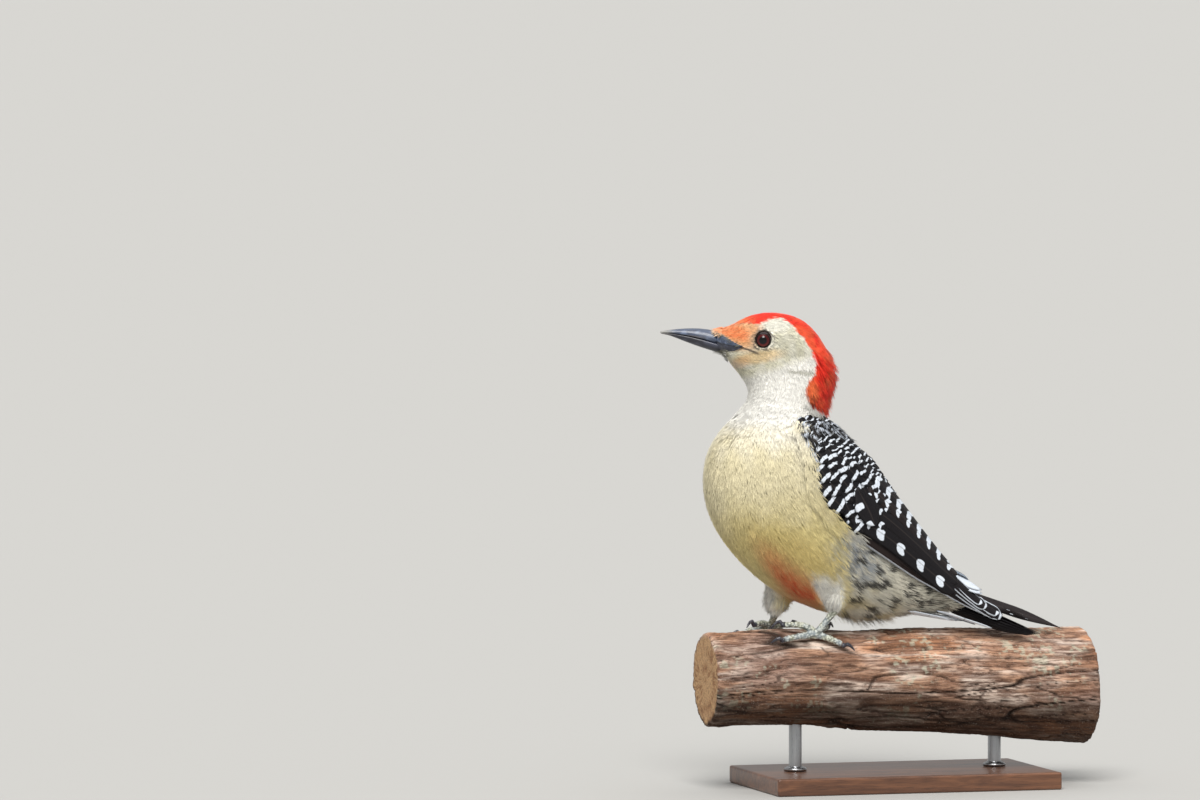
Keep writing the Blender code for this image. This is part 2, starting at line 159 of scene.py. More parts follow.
def build(name, points, faces, colours=None, maps=None, normals=None):
    """A mesh object. faces: arrays of point numbers; colours and maps: one row per point."""
    mesh = bpy.data.meshes.new(name)
    mesh.vertices.add(len(points))
    mesh.vertices.foreach_set("co", np.asarray(points, np.float32).ravel())
    corners = np.concatenate([f.ravel() for f in faces]).astype(np.int32)
    sizes = np.concatenate([np.full(len(f), f.shape[1]) for f in faces])
    starts = np.concatenate([[0], np.cumsum(sizes)[:-1]]).astype(np.int32)
    mesh.loops.add(len(corners))
    mesh.loops.foreach_set("vertex_index", corners)
    mesh.polygons.add(len(sizes))
    mesh.polygons.foreach_set("loop_start", starts)
    mesh.polygons.foreach_set("use_smooth", np.ones(len(sizes), bool))
    mesh.update(calc_edges=True)
    for title, values in (colours or {}).items():
        rows = np.ones((len(points), 4), np.float32)
        rows[:, : values.shape[1]] = values
        layer = mesh.color_attributes.new(name=title, type="FLOAT_COLOR", domain="POINT")
        layer.data.foreach_set("color", rows.ravel())
    for title, values in (maps or {}).items():
        layer = mesh.uv_layers.new(name=title)
        layer.data.foreach_set("uv", np.asarray(values, np.float32)[corners].ravel())
    if normals is not None:
        mesh.normals_split_custom_set_from_vertices(np.asarray(normals, np.float32))
    return placed(name, mesh)


def finish_piece(piece, material, stands_for=()):
    """Gives a piece its material, hangs it under the root body and hides the nodes it stands for."""
    piece.data.materials.clear()
    piece.data.materials.append(material)
    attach(piece, "root")
    if stands_for:
        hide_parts(*stands_for)


def arrays(mesh):
    """Points, triangles and point normals of a Blender mesh."""
    points = np.empty(len(mesh.vertices) * 3, np.float32)
    mesh.vertices.foreach_get("co", points)
    mesh.calc_loop_triangles()
    triangles = np.empty(len(mesh.loop_triangles) * 3, np.int32)
    mesh.loop_triangles.foreach_get("vertices", triangles)
    normals = np.empty(len(mesh.vertices) * 3, np.float32)
    mesh.vertex_normals.foreach_get("vector", normals)
    return (
        points.reshape(-1, 3).astype(float),
        triangles.reshape(-1, 3),
        normals.reshape(-1, 3).astype(float),
    )


def node_centre(name):
    low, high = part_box(name)
    return np.array((low + high) / 2)


def corners_of(name):
    """The lowest and the highest corner of a node, as arrays."""
    low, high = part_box(name)
    return np.array(low), np.array(high)


# ---------------------------------------------------------------- shapes from the model

DOUBLE = 1e-6
RELAXING = 0.5


def welded(names, inflate):
    """The named nodes in one mesh, their double points joined and moved out by inflate."""
    made = bmesh.new()
    for name in names:
        part = bmesh.new()
        part.from_mesh(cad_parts[name].data)
        bmesh.ops.remove_doubles(part, verts=part.verts, dist=DOUBLE)
        bmesh.ops.recalc_face_normals(part, faces=part.faces)
        part.normal_update()
        for vertex, normal in [(v, v.normal.copy()) for v in part.verts]:
            vertex.co += normal * inflate * MM
        holder = bpy.data.meshes.new("holder")
        part.to_mesh(holder)
        part.free()
        made.from_mesh(holder)
        bpy.data.meshes.remove(holder)
    mesh = bpy.data.meshes.new("welded")
    made.to_mesh(mesh)
    made.free()
    return mesh


def relaxed(points, edges, rounds):
    """Points drawn towards the middle of their neighbours, over and over."""
    count = np.bincount(edges.ravel(), minlength=len(points))[:, None]
    for _ in range(rounds):
        total = np.zeros_like(points)
        for axis in range(3):
            total[:, axis] = np.bincount(
                edges[:, 0], points[edges[:, 1], axis], len(points)
            ) + np.bincount(edges[:, 1], points[edges[:, 0], axis], len(points))
        points = points + RELAXING * (total / np.maximum(count, 1) - points)
    return points


def fused(names, voxel, inflate=0.0, rounds=2):
    """One smooth closed mesh over the named nodes, as a Blender mesh."""
    holder = placed("fused", welded(names, inflate))
    remesh = holder.modifiers.new("remesh", "REMESH")
    remesh.mode = "VOXEL"
    remesh.voxel_size = voxel * MM
    graph = bpy.context.evaluated_depsgraph_get()
    mesh = bpy.data.meshes.new_from_object(holder.evaluated_get(graph))
    bpy.data.objects.remove(holder)
    edges = np.empty(len(mesh.edges) * 2, np.int32)
    mesh.edges.foreach_get("vertices", edges)
    points = arrays(mesh)[0]
    points = relaxed(points, edges.reshape(-1, 2), rounds)
    mesh.vertices.foreach_set("co", points.astype(np.float32).ravel())
    mesh.update()
    return mesh


def moved_in(mesh, depth):
    """The mesh with each point moved inwards by depth(points) millimetres."""
    points, _, normals = arrays(mesh)
    points = points - normals * (depth(points) * MM)[:, None]
    mesh.vertices.foreach_set("co", points.astype(np.float32).ravel())
    mesh.update()
    return mesh


class Surface:
    """A mesh that says what lies nearest to a point or along a ray, with even normals."""

    def __init__(self, mesh):
        self.points, self.triangles, self.normals = arrays(mesh)
        self.tree = BVHTree.FromPolygons(self.points.tolist(), self.triangles.tolist())

    def _normals_at(self, places, faces):
        a, b, c = (self.points[self.triangles[faces, k]] for k in range(3))
        whole = np.cross(b - a, c - a)
        area = np.maximum((whole * whole).sum(1), 1e-18)
        wb = (np.cross(places - a, c - a) * whole).sum(1) / area
        wc = (np.cross(b - a, places - a) * whole).sum(1) / area
        wb, wc = np.clip(wb, 0, 1), np.clip(wc, 0, 1)
        wa = np.clip(1 - wb - wc, 0, 1)
        mixed = sum(
            w[:, None] * self.normals[self.triangles[faces, k]]
            for k, w in enumerate((wa, wb, wc))
        )
        return unit(mixed)

    def nearest(self, queries):
        found = [self.tree.find_nearest(q) for q in queries.tolist()]
        places = np.array([f[0] for f in found], float)
        faces = np.array([f[2] for f in found])
        return places, self._normals_at(places, faces)

    def along(self, origins, direction):
        """Where parallel rays land: places, normals and whether each one landed."""
        way = Vector(direction)
        found = [self.tree.ray_cast(o, way) for o in origins.tolist()]
        landed = np.array([f[0] is not None for f in found])
        places = np.array([f[0] if f[0] is not None else (0, 0, 0) for f in found], float)
        faces = np.array([f[2] if f[0] is not None else 0 for f in found])
        return places, self._normals_at(places, faces), landed


# ---------------------------------------------------------------- the bird's own directions

EYE_MIDDLE = (node_centre("eye_left") + node_centre("eye_right")) / 2
HEAD_LEFT = unit((node_centre("eye_left") - node_centre("eye_right")) * (1, 1, 0))
HEAD_FORWARD = np.cross(HEAD_LEFT, UP)
TRUNK_LOW, TRUNK_HIGH = corners_of("trunk")
MIDDLE_Y = float((TRUNK_LOW[1] + TRUNK_HIGH[1]) / 2)

# The line that the flesh lies round: in the head, millimetres forward of and above the eyes;
# in the trunk, shares of the trunk's length and height.
HEAD_LINE = (
    (24.0, -1.0), (19.8, -1.8), (15.4, -2.3), (9.8, -2.4), (4.6, -3.2), (-0.9, -5.0),
    (-5.9, -8.4), (-9.4, -13.2), (-11.2, -19.1), (-11.4, -25.8), (-9.1, -32.4),
)
TRUNK_LINE = (
    (0.264, 0.970), (0.268, 0.886), (0.282, 0.787), (0.306, 0.672), (0.346, 0.560),
    (0.399, 0.447), (0.464, 0.337), (0.536, 0.240), (0.631, 0.157), (0.732, 0.106),
    (0.837, 0.100), (0.980, 0.076),
)
LINE_STEPS = 12
BLOCK = 20000


def head_place(forward, above):
    return EYE_MIDDLE + HEAD_FORWARD * forward * MM + UP * above * MM


def trunk_place(along, height):
    place = TRUNK_LOW + (TRUNK_HIGH - TRUNK_LOW) * (along, 0.5, height)
    return np.array((place[0], MIDDLE_Y, place[2]))


def rounded(corners, steps):
    """A smooth line through the corners."""
    corners = np.array(corners)
    held = np.vstack([2 * corners[0] - corners[1], corners, 2 * corners[-1] - corners[-2]])
    line = []
    for p0, p1, p2, p3 in zip(held[:-3], held[1:-2], held[2:-1], held[3:]):
        for t in np.arange(steps) / steps:
            line.append(
                0.5 * (2 * p1 + (p2 - p0) * t + (2 * p0 - 5 * p1 + 4 * p2 - p3) * t * t
                       + (3 * p1 - 3 * p2 + p3 - p0) * t ** 3)
            )
    return np.array(line + [corners[-1]])


SPINE = rounded(
    [head_place(*p) for p in HEAD_LINE] + [trunk_place(*p) for p in TRUNK_LINE], LINE_STEPS
)
SPINE_WAY = unit(np.gradient(SPINE, axis=0))
SPINE_LONG = np.concatenate([[0], np.cumsum(np.linalg.norm(np.diff(SPINE, axis=0), axis=1))])


def spine_index(points):
    """The number of the nearest step of the spine, for each point."""
    found = np.empty(len(points), int)
    for start in range(0, len(points), BLOCK):
        block = points[start : start + BLOCK]
        gaps = ((block[:, None, :] - SPINE[None, :, :]) ** 2).sum(2)
        found[start : start + BLOCK] = gaps.argmin(1)
    return found


def girth(points):
    """Share of the way down the spine, and the angle from the back, positive to the left."""
    index = spine_index(points)
    way = SPINE_WAY[index]
    left = unit(np.cross(UP, way) * -1.0)
    left = np.where((left @ HEAD_LEFT)[:, None] < 0, -left, left)
    back = np.cross(left, way)
    back = np.where((back[:, 2] < -0.2)[:, None], -back, back)
    out = points - SPINE[index]
    angle = np.arctan2((out * left).sum(1), (out * back).sum(1))
    return SPINE_LONG[index] / SPINE_LONG[-1], angle, way


def on_surface(heading, normals):
    """The heading laid flat on a surface with these normals."""
    return unit(heading - normals * (heading * normals).sum(1)[:, None])


def lie(points, normals):
    """The way the plumage lies at each point: back and down along the body."""
    return on_surface(girth(points)[2], normals)


def face_map(points):
    """Millimetres forward of, above and out from the eyes' middle."""
    away = (points - EYE_MIDDLE) / MM
    return away @ HEAD_FORWARD, away[:, 2], np.abs(away @ HEAD_LEFT)


def trunk_map(points):
    """Millimetres behind the trunk's front end, above its lowest point and off its middle."""
    away = (points - TRUNK_LOW) / MM
    return away[:, 0], away[:, 2], np.abs(points[:, 1] - MIDDLE_Y) / MM


# ---------------------------------------------------------------- markings

RED = linear(255, 54, 34)
SCARLET = linear(255, 96, 58)
ORANGE = linear(246, 124, 70)
BUFF_ORANGE = linear(240, 174, 118)
FACE = linear(226, 222, 198)
FACE_PALE = linear(244, 241, 226)
FACE_GREY = linear(162, 160, 142)
CHEEK = linear(236, 202, 146)
THROAT = linear(255, 253, 246)
BREAST = linear(233, 222, 184)
BUTTER = linear(228, 211, 148)
OCHRE = linear(206, 176, 96)
BELLY_RED = linear(208, 78, 38)
FLUFF = linear(246, 244, 236)
FLANK_BLUE = linear(136, 144, 154)
FLANK_PALE = linear(216, 211, 194)
SHADOW = linear(58, 54, 52)
VENT = linear(206, 190, 146)
INK = linear(22, 21, 24)
WHITE = linear(232, 232, 230)
DOWN_WHITE = linear(206, 214, 226)

# Where the red of the crown and nape ends, from the forehead back and down to the hackles.
RED_EDGE = (
    (24.0, 5.2), (13.0, 6.6), (9.3, 7.2), (3.2, 7.4), (-1.9, 9.2), (-6.5, 10.2), (-10.8, 8.4),
    (-14.6, 4.2), (-18.4, 0.4), (-21.6, -4.7), (-24.0, -10.6), (-23.0, -15.2), (-20.6, -18.5),
    (-18.6, -24.5), (-21.6, -29.0), (-27.4, -33.0), (-30.0, -40.0),
)
# The front and lower edge of the wings, seen from the side as trunk_map measures it.
WING_LINE = (
    (70.0, 99.0), (46.0, 96.0), (43.0, 90.0), (45.0, 56.0), (55.0, 43.0), (73.0, 33.0), (119.0, 8.0)
)
# The crease that runs back from the corner of the mouth, under the eye; a dark line of painted shade
# lies along it.
MOUTH_CREASE = ((14.2, -2.3), (7.0, -4.4), (1.9, -6.5))
# Where the horn of the bill shows behind its root, back to the corner of the mouth:
# millimetres forward of the eyes, and above them its upper and lower limits and the seam
# between the two halves of the bill.
GAPE_FORWARD = (9.6, 11.4, 13.1, 17.5, 21.6)
GAPE_TOP = (-2.8, -2.1, -1.2, 1.3, 4.3)
GAPE_LOW = (-3.0, -4.1, -4.9, -5.6, -5.2)
GAPE_SEAM = (-2.9, -3.1, -3.0, -2.2, -1.3)


def head_marks(points):
    """The colour of the face, the crown and the nape at each point."""
    f, u, out = face_map(points)
    grain = cloud(points, (1.1 * MM, 1.1 * MM, 0.5 * MM), 3)
    broad = cloud(points, 3.2 * MM, 4)
    # painted shade: a grey line along the fold on the side of the neck, and a dark line along the
    # mouth's crease
    fold_shade = smooth(1.2, 0.2, np.abs(u + 14.4 - 0.10 * (f + 18.0)))
    crease_shade = smooth(0.75, 0.2, np.abs(beyond(f, u, MOUTH_CREASE)))
    tone = painted(
        FACE,
        (FACE_PALE, 0.75 * smooth(0.35, 0.8, broad)),
        (FACE_PALE, blob(f, u, (-4.0, 6.4), (9.0, 3.2), -10)),
        (FACE_GREY, 0.6 * blob(f, u, (-10.0, -3.0), (9.0, 5.0), 20) * grain),
        (CHEEK, 0.7 * blob(f, u, (3.0, -7.6), (11.0, 2.8), -10)),
        (BUFF_ORANGE, 0.95 * blob(f, u, (13.0, 0.6), (9.0, 4.4), 14, 0.6)),
        (BUFF_ORANGE, 0.3 * blob(f, u, (11.0, -10.5), (5.0, 2.4), -30)),
        (BUFF_ORANGE, 0.9 * blob(f, u, (7.6, 5.0), (6.2, 3.4), 0, 0.5)),
        (THROAT, smooth(-11.5, -17.0, u + 0.35 * f)),
        (FACE_GREY, 0.7 * fold_shade * smooth(-25, -22, f) * smooth(-8, -13, f)),
        (SHADOW, 0.8 * crease_shade * smooth(0.2, 4.0, f)),
    )
    red = painted(
        RED,
        (SCARLET, smooth(0.3, 0.8, broad)),
        (ORANGE, smooth(6.0, 11.0, f)),
        (BUFF_ORANGE, 0.6 * smooth(13.0, 22.0, f)),
        (ORANGE, 0.8 * blob(f, u, (-21.0, -23.0), (3.6, 6.0))),
        (INK, 0.75 * blob(f, u, (-20.5, -27.0), (3.8, 3.4)) * smooth(0.35, 0.6, grain)),
    )
    edge = 1.6 * (grain - 0.5) - beyond(f, u, RED_EDGE)
    orange = blob(f, u, (15.0, 4.2), (9.0, 3.4), 18)
    round_eye = smooth(6.6, 4.9, np.hypot(f - 0.2, u)) * smooth(5.0, 8.0, out)
    specks = smooth(0.42, 0.62, cloud(points, 0.55 * MM, 8))
    return painted(
        tone,
        (red, smooth(-0.5, 0.5, edge)),
        (blend(ORANGE, BUFF_ORANGE, 0.55 * grain), 0.9 * orange * smooth(5.0, 9.0, f)),
        (SHADOW, 0.8 * round_eye * specks),
        (SHADOW, 0.6 * blob(f, u, (-5.4, 1.1), (1.1, 0.6), 25)),
    )


SHANK_RIM = 1.5


def shank_top(name):
    """The middle of the top of a foot's shank."""
    points = arrays(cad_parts[f"foot_{name}"].data)[0]
    return points[points[:, 2] > points[:, 2].max() - SHANK_RIM * MM].mean(0)


SHANK_TOPS = {name: shank_top(name) for name in SIDES}
THIGH_LEAN, THIGH_FOOT, THIGH_SPREAD, THIGH_HIGH = 0.42, 3.0, 0.28, 19.0


def above_shank(points):
    """Millimetres above the top of the shank on each point's own side."""
    tops = np.where(points[:, 1] < MIDDLE_Y, SHANK_TOPS["left"][2], SHANK_TOPS["right"][2])
    return (points[:, 2] - tops) / MM


def thigh_share(points):
    """1 on the fluff of the thighs, a funnel that leans forward over each shank."""
    share = np.zeros(len(points))
    ragged = 5.0 * (cloud(points, 2.2 * MM, 19) - 0.5)
    for name, side in SIDES.items():
        away = (points - SHANK_TOPS[name]) / MM
        width = THIGH_FOOT + THIGH_SPREAD * np.clip(away[:, 2], 0.0, THIGH_HIGH)
        reach = np.abs(away[:, 0] + THIGH_LEAN * away[:, 2]) / width
        own_side = smooth(1.0, 6.0, (points[:, 1] - MIDDLE_Y) * side / MM)
        high = smooth(THIGH_HIGH, THIGH_HIGH - 8.0, away[:, 2] + ragged)
        share = np.maximum(share, smooth(1.3, 0.75, reach) * own_side * high)
    return share


def under_coat(points):
    """How far in the fluff of the thighs takes root: under the coat above, on the shank below."""
    return 1.9 * smooth(2.0, 9.0, above_shank(points))


def trunk_marks(points):
    """The colour of the breast, the belly, the flanks and the thighs at each point."""
    b, h, off = trunk_map(points)
    fine = cloud(points, 1.4 * MM, 5)
    broad = cloud(points, 6.0 * MM, 6)
    buttery = smooth(66.0, 38.0, h + 8 * (broad - 0.5)) * (0.55 + 0.45 * smooth(2, 14, b))
    belly = blob(b, h, (37.5, 21.5), (21.0, 6.0), -47, 0.6) * smooth(24.0, 12.0, off)
    rear = smooth(58.0, 66.0, b + 0.12 * (h - 20.0) + 3 * (fine - 0.5)) * smooth(46.0, 40.0, h)
    blue = blob(b, h, (66.0, 29.0), (14.0, 9.0), -34, 0.6) * smooth(0.25, 0.65, fine)
    dots = spots(points, (5.4 * MM, 5.6 * MM, 4.6 * MM), 7) + 0.22 * (fine - 0.5)
    ink = smooth(0.44, 0.32, dots) * smooth(61.0, 66.0, b) * smooth(44.0, 36.0, h)
    fluff = thigh_share(points)
    return painted(
        THROAT,
        (BREAST, smooth(110.0, 70.0, h + 14 * (broad - 0.5))),
        (BUTTER, buttery),
        (OCHRE, 0.5 * blob(b, h, (35.0, 32.0), (22.0, 9.0), -28, 0.8)),
        (BELLY_RED, np.clip(1.05 * belly * (0.6 + 0.5 * fine), 0, 1)),
        (FLANK_PALE, rear),
        (FLANK_BLUE, 0.85 * blue),
        (VENT, 0.9 * blob(b, h, (74.0, 6.0), (12.0, 9.0), 0) * smooth(0.3, 0.6, broad)),
        (INK, 0.9 * ink),
        (FLUFF, 0.95 * fluff),
        (FLANK_BLUE, 0.55 * fluff * smooth(0.55, 0.85, fine)),
    )


def plumage(points):
    """The colour of the plumage and of the skin beneath it."""
    _, above, _ = face_map(points)
    behind, height, _ = trunk_map(points)
    under_wing = smooth(4.0, 6.0, beyond(behind, height, WING_LINE))
    return painted(
        head_marks(points),
        (trunk_marks(points), smooth(-34.0, -41.0, above)),
        (INK, under_wing * smooth(106.0, 102.0, behind)),
        (WHITE, under_wing * smooth(102.0, 106.0, behind)),
    )


# ---------------------------------------------------------------- materials


class Nodes:
    """A material's node tree, with short ways to add and join nodes."""

    def __init__(self, name, roughness=0.6, **constants):
        self.material = bpy.data.materials.new(name)
        self.material.use_nodes = True
        self.tree = self.material.node_tree
        self.shader = self.tree.nodes["Principled BSDF"]
        self.set(self.shader, Roughness=roughness, **constants)

    def set(self, node, **values):
        for title, value in values.items():
            socket = node.inputs[title.replace("_", " ")]
            if hasattr(value, "is_output"):
                self.tree.links.new(value, socket)
            elif socket.type == "RGBA" and not np.isscalar(value):
                socket.default_value = (*value, 1.0)
            else:
                socket.default_value = value

    def add(self, kind, **values):
        node = self.tree.nodes.new(kind)
        self.set(node, **values)
        return node

    def number(self, operation, *values, clamp=False):
        node = self.tree.nodes.new("ShaderNodeMath")
        node.operation = operation
        node.use_clamp = clamp
        for socket, value in zip(node.inputs, values):
            if hasattr(value, "is_output"):
                self.tree.links.new(value, socket)
            else:
                socket.default_value = value
        return node.outputs[0]

    def times(self, first, second):
        return self.number("MULTIPLY", first, second)

    def plus(self, first, second):
        return self.number("ADD", first, second)

    def minus(self, first, second):
        return self.number("SUBTRACT", first, second)

    def mix(self, share, first, second):
        node = self.tree.nodes.new("ShaderNodeMix")
        node.data_type = "RGBA"
        for number, value in ((0, share), (6, first), (7, second)):
            socket = node.inputs[number]
            if hasattr(value, "is_output"):
                self.tree.links.new(value, socket)
            elif np.isscalar(value):
                socket.default_value = value
            else:
                socket.default_value = (*value, 1.0)
        return node.outputs[2]

    def attribute(self, name):
        node = self.tree.nodes.new("ShaderNodeAttribute")
        node.attribute_name = name
        return node

    def tint(self):
        return self.attribute("Tint").outputs["Color"]

    def places(self, stretch=(1, 1, 1)):
        """Object coordinates in millimetres, squeezed by stretch."""
        where = self.tree.nodes.new("ShaderNodeTexCoord").outputs["Object"]
        node = self.tree.nodes.new("ShaderNodeMapping")
        node.inputs["Scale"].default_value = tuple(s / MM for s in stretch)
        self.tree.links.new(where, node.inputs["Vector"])
        return node.outputs[0]

    def noise(self, size, where=None, detail=3.0, rough=0.55, distortion=0.0):
        """Noise with lumps of about size millimetres, from 0 to 1."""
        node = self.add(
            "ShaderNodeTexNoise", Vector=where or self.places(), Scale=1.0 / size,
            Detail=detail, Roughness=rough, Distortion=distortion,
        )
        return node.outputs["Fac"]

    def ramp(self, value, start, end, low=0.0, high=1.0):
        node = self.add(
            "ShaderNodeMapRange", Value=value, From_Min=start, From_Max=end, To_Min=low, To_Max=high
        )
        node.interpolation_type = "SMOOTHSTEP"
        return node.outputs["Result"]

    def bump(self, height, distance, strength=1.0):
        """height in shares of distance, which is in millimetres."""
        node = self.add("ShaderNodeBump", Height=height, Distance=distance * MM, Strength=strength)
        self.set(self.shader, Normal=node.outputs["Normal"])

    def done(self, colour):
        self.set(self.shader, Base_Color=colour)
        return self.material

    def tinted(self):
        """The material, with its colour from the Tint of each point."""
        return self.done(self.tint())


def plumage_material(name, roughness, fleck):
    """Colour from the Tint of each point, broken up by fine flecks."""
    n = Nodes(name, roughness=roughness, Sheen_Weight=0.15, Sheen_Roughness=0.5)
    n.set(n.shader, Specular_IOR_Level=0.25)
    flecks = n.ramp(n.noise(0.45), 0.3, 0.7, 1.0 - fleck, 1.0 + fleck)
    tint = n.tint()
    shade = n.add("ShaderNodeVectorMath")
    shade.operation = "SCALE"
    n.tree.links.new(tint, shade.inputs[0])
    n.tree.links.new(flecks, shade.inputs["Scale"])
    return n.done(shade.outputs[0])


# ---------------------------------------------------------------- skin

COAT_ON_HEAD, COAT_ON_TRUNK = 1.1, 1.75
SKIN_UNDER_COAT = 0.4


def shoulder_hollow(points):
    """How much flatter than the model the plumage lies where the mantle meets the nape."""
    b, h, _ = trunk_map(points)
    return 2.5 * blob(b, h, (72.0, 87.0), (14.0, 10.0), 0.0, 0.7)


def coat_depth(points):
    """How far, in millimetres, the coat's roots lie under the tips of the feathers."""
    f, u, out = face_map(points)
    body = smooth(-34.0, -66.0, u)
    face = smooth(-16.0, -4.0, u)
    near_bill = smooth(10.0, 22.0, f) * smooth(-14, -8, u)
    near_eye = blob(f, u, (0.0, 0.0), (5.5, 5.5), 0, 0.3) * smooth(6.0, 9.0, out)
    depth = COAT_ON_HEAD + (COAT_ON_TRUNK - COAT_ON_HEAD) * body - 0.35 * face
    depth = depth * (1.0 - 0.55 * near_bill) * (1.0 - 0.75 * near_eye)
    return depth + shoulder_hollow(points)


def skin_depth(points):
    return coat_depth(points) + SKIN_UNDER_COAT


def make_skin():
    mesh = moved_in(fused(FLESH, voxel=1.1, inflate=0.4, rounds=5), skin_depth)
    points, triangles, _ = arrays(mesh)
    skin = build("skin", points, (triangles,), {"Tint": plumage(points)})
    bpy.data.meshes.remove(mesh)
    finish_piece(skin, plumage_material("plumage_skin", 0.8, 0.2), FLESH)
    return Surface(skin.data)


# ---------------------------------------------------------------- soft feathers

# The coat's map: how large a tuft's patch is, and the room left round the whole.
PATCH = 0.003
MAP_MARGIN = 0.02

# Millimetres between tufts.
HEAD_SPACING, BODY_SPACING = 1.0, 1.9
HACKLE_SPACING, NOSE_SPACING, LORE_SPACING, CHIN_SPACING = 2.6, 0.78, 1.15, 1.5
THIGH_SPACING, VENT_SPACING = 1.5, 2.5

# Each lock of a tuft is a flattened tube of three rings and a tip. The rings: where they lie
# along it, how wide they are, and how light; the root ring is darker, for the grey down at the
# feathers' bases and as painted shade. The tip has no width, and is lighter as painted light.
RINGS = (0.0, 0.36, 0.74)
RING_WIDTHS = (1.0, 0.95, 0.62, 0.0)
RING_DOWN_AND_SHADE = (0.95, 1.0, 1.0)
TIP_PAINTED_LIGHT = 1.04
LOCK_HEIGHT = 0.55
ROOT_SUNK = 0.12
RISING = 0.8
BUNCHING, CLOSING = 0.34, 0.35
SOFT_SIDE, SOFT_TIP = 0.22, 0.15
DARK_HAIRS = 0.045

TRIES = 5
EVENNESS = 0.93
EYE_CLEAR = 5.5
PATH_STEPS = 3

# Whether a wing hides a place: how far ahead a tuft reaches, where the look outwards starts,
# and how far it goes.
TUFT_AHEAD, LOOK_FROM, LOOK_REACH = 5.0, 0.2, 12.0

MOST_TRIANGLES = 195000


def scattered(surface, spacing, keep, rng):
    """Even points over the kept part of a surface, about spacing millimetres apart."""
    a, b, c = (surface.points[surface.triangles[:, k]] for k in range(3))
    area = np.linalg.norm(np.cross(b - a, c - a), axis=1) / 2
    count = int(area.sum() / (spacing * MM) ** 2 * TRIES)
    chosen = rng.choice(len(area), count, p=area / area.sum())
    wa, wb = rng.random((2, count))
    turned = wa + wb > 1
    wa, wb = np.where(turned, 1 - wa, wa), np.where(turned, 1 - wb, wb)
    places = a[chosen] + (b - a)[chosen] * wa[:, None] + (c - a)[chosen] * wb[:, None]
    places = places[keep(places)]
    cells = np.floor(places / (spacing * EVENNESS * MM)).astype(np.int64)
    _, first = np.unique(cells, axis=0, return_index=True)
    return places[np.sort(first)]


def paths(surface, roots, lengths, way):
    """For each root, places, normals and headings at steps along the way that the coat lies."""
    places, normals = surface.nearest(roots)
    rows = [(places, normals, way(places, normals))]
    for _ in range(PATH_STEPS):
        here, normal, heading = rows[-1]
        ahead = here + heading * (lengths / PATH_STEPS * MM)[:, None]
        here, normal = surface.nearest(ahead)
        rows.append((here, normal, way(here, normal)))
    return [np.stack([row[k] for row in rows], axis=1) for k in range(3)]


def on_path(stations, share):
    """Values between the stations of each path, at each path's own share of its length."""
    t = np.clip(share, 0, 1) * PATH_STEPS
    step = np.minimum(t.astype(int), PATH_STEPS - 1)
    rows = np.arange(len(stations))
    between = (t - step)[:, None]
    return stations[rows, step] * (1 - between) + stations[rows, step + 1] * between


def unwrapped(points):
    """The place of each point on the coat's map: along the spine and round it."""
    down, angle, _ = girth(points)
    room = 1 - 2 * MAP_MARGIN
    return np.stack(
        [MAP_MARGIN + room * down, MAP_MARGIN + room * (angle / (2 * np.pi) + 0.5)], axis=1
    )


def tufts(surface, roots, style, rng, colour, way):
    """Locks for every root, as arrays: points, faces, colours, map and soft normals."""
    count = len(roots)
    fan, many, vary = style["fan"], style["locks"], style["variety"]
    length, depth, width, flare = (
        np.broadcast_to(style[k], count) for k in ("length", "depth", "width", "flare")
    )
    length = length * rng.uniform(0.85, 1.15, count)
    places, normals, headings = paths(surface, roots, length, way)
    home = unwrapped(roots)
    tuft_shade = rng.uniform(1 - vary / 2, 1 + vary / 2, count)
    spread = width * many * BUNCHING
    made = []
    for lock in range(many):
        slot = (lock + 0.5) / many * 2 - 1
        aside = (slot + rng.uniform(-0.25, 0.25, count)) * spread
        turn = np.radians(fan) * (slot + rng.uniform(-0.5, 0.5, count))
        reach = rng.uniform(0.72, 1.0, count) * (1 - 0.18 * slot * slot)
        lifted = rng.uniform(0.76, 1.02, count)
        wide = width * rng.uniform(0.75, 1.25, count)
        shade = tuft_shade * rng.uniform(1 - vary, 1 + 0.6 * vary, count)
        shade = shade * np.where(rng.random(count) < DARK_HAIRS, 1 - 2 * vary, 1.0)
        rings = []
        for share, narrowed in zip((*RINGS, 1.0), RING_WIDTHS):
            along = reach * share
            normal = unit(on_path(normals, along))
            heading = unit(on_path(headings, along))
            side = np.cross(normal, heading)
            out = aside * (1 - CLOSING * share) + np.sin(turn) * along * length
            height = depth * (-ROOT_SUNK + (lifted + ROOT_SUNK) * share ** RISING)
            height = height + flare * share * share
            centre = on_path(places, along) + side * (out * MM)[:, None]
            centre = centre + normal * (height * MM)[:, None]
            rings.append((centre, normal, side, heading, wide * narrowed / 2))
        tint = colour(rings[1][0] * 0.5 + rings[2][0] * 0.5) * shade[:, None]
        # each ring's colour is scaled by its lightness: grey down and painted shade at the root
        for (centre, normal, side, _, half), share, light in zip(rings, RINGS, RING_DOWN_AND_SHADE):
            on_map = home + PATCH * np.array((share - 0.5, slot / 2))
            for where in (side * -1.0, normal * LOCK_HEIGHT, side):
                point = centre + where * (half * MM)[:, None]
                soft = unit(normal + SOFT_SIDE * where)
                made.append((point, tint * light, on_map, soft))
        tip, normal, _, heading, _ = rings[-1]
        on_map = home + PATCH * np.array((0.5, slot / 2))
        # the tip is a little lighter: painted light
        made.append((tip, tint * TIP_PAINTED_LIGHT, on_map, unit(normal + SOFT_TIP * heading)))
    points, colours, flat, soft = (
        np.stack(rows, axis=1).reshape(-1, rows[0].shape[1]) for rows in zip(*made)
    )
    return points, lock_faces(count * many), colours, flat, soft


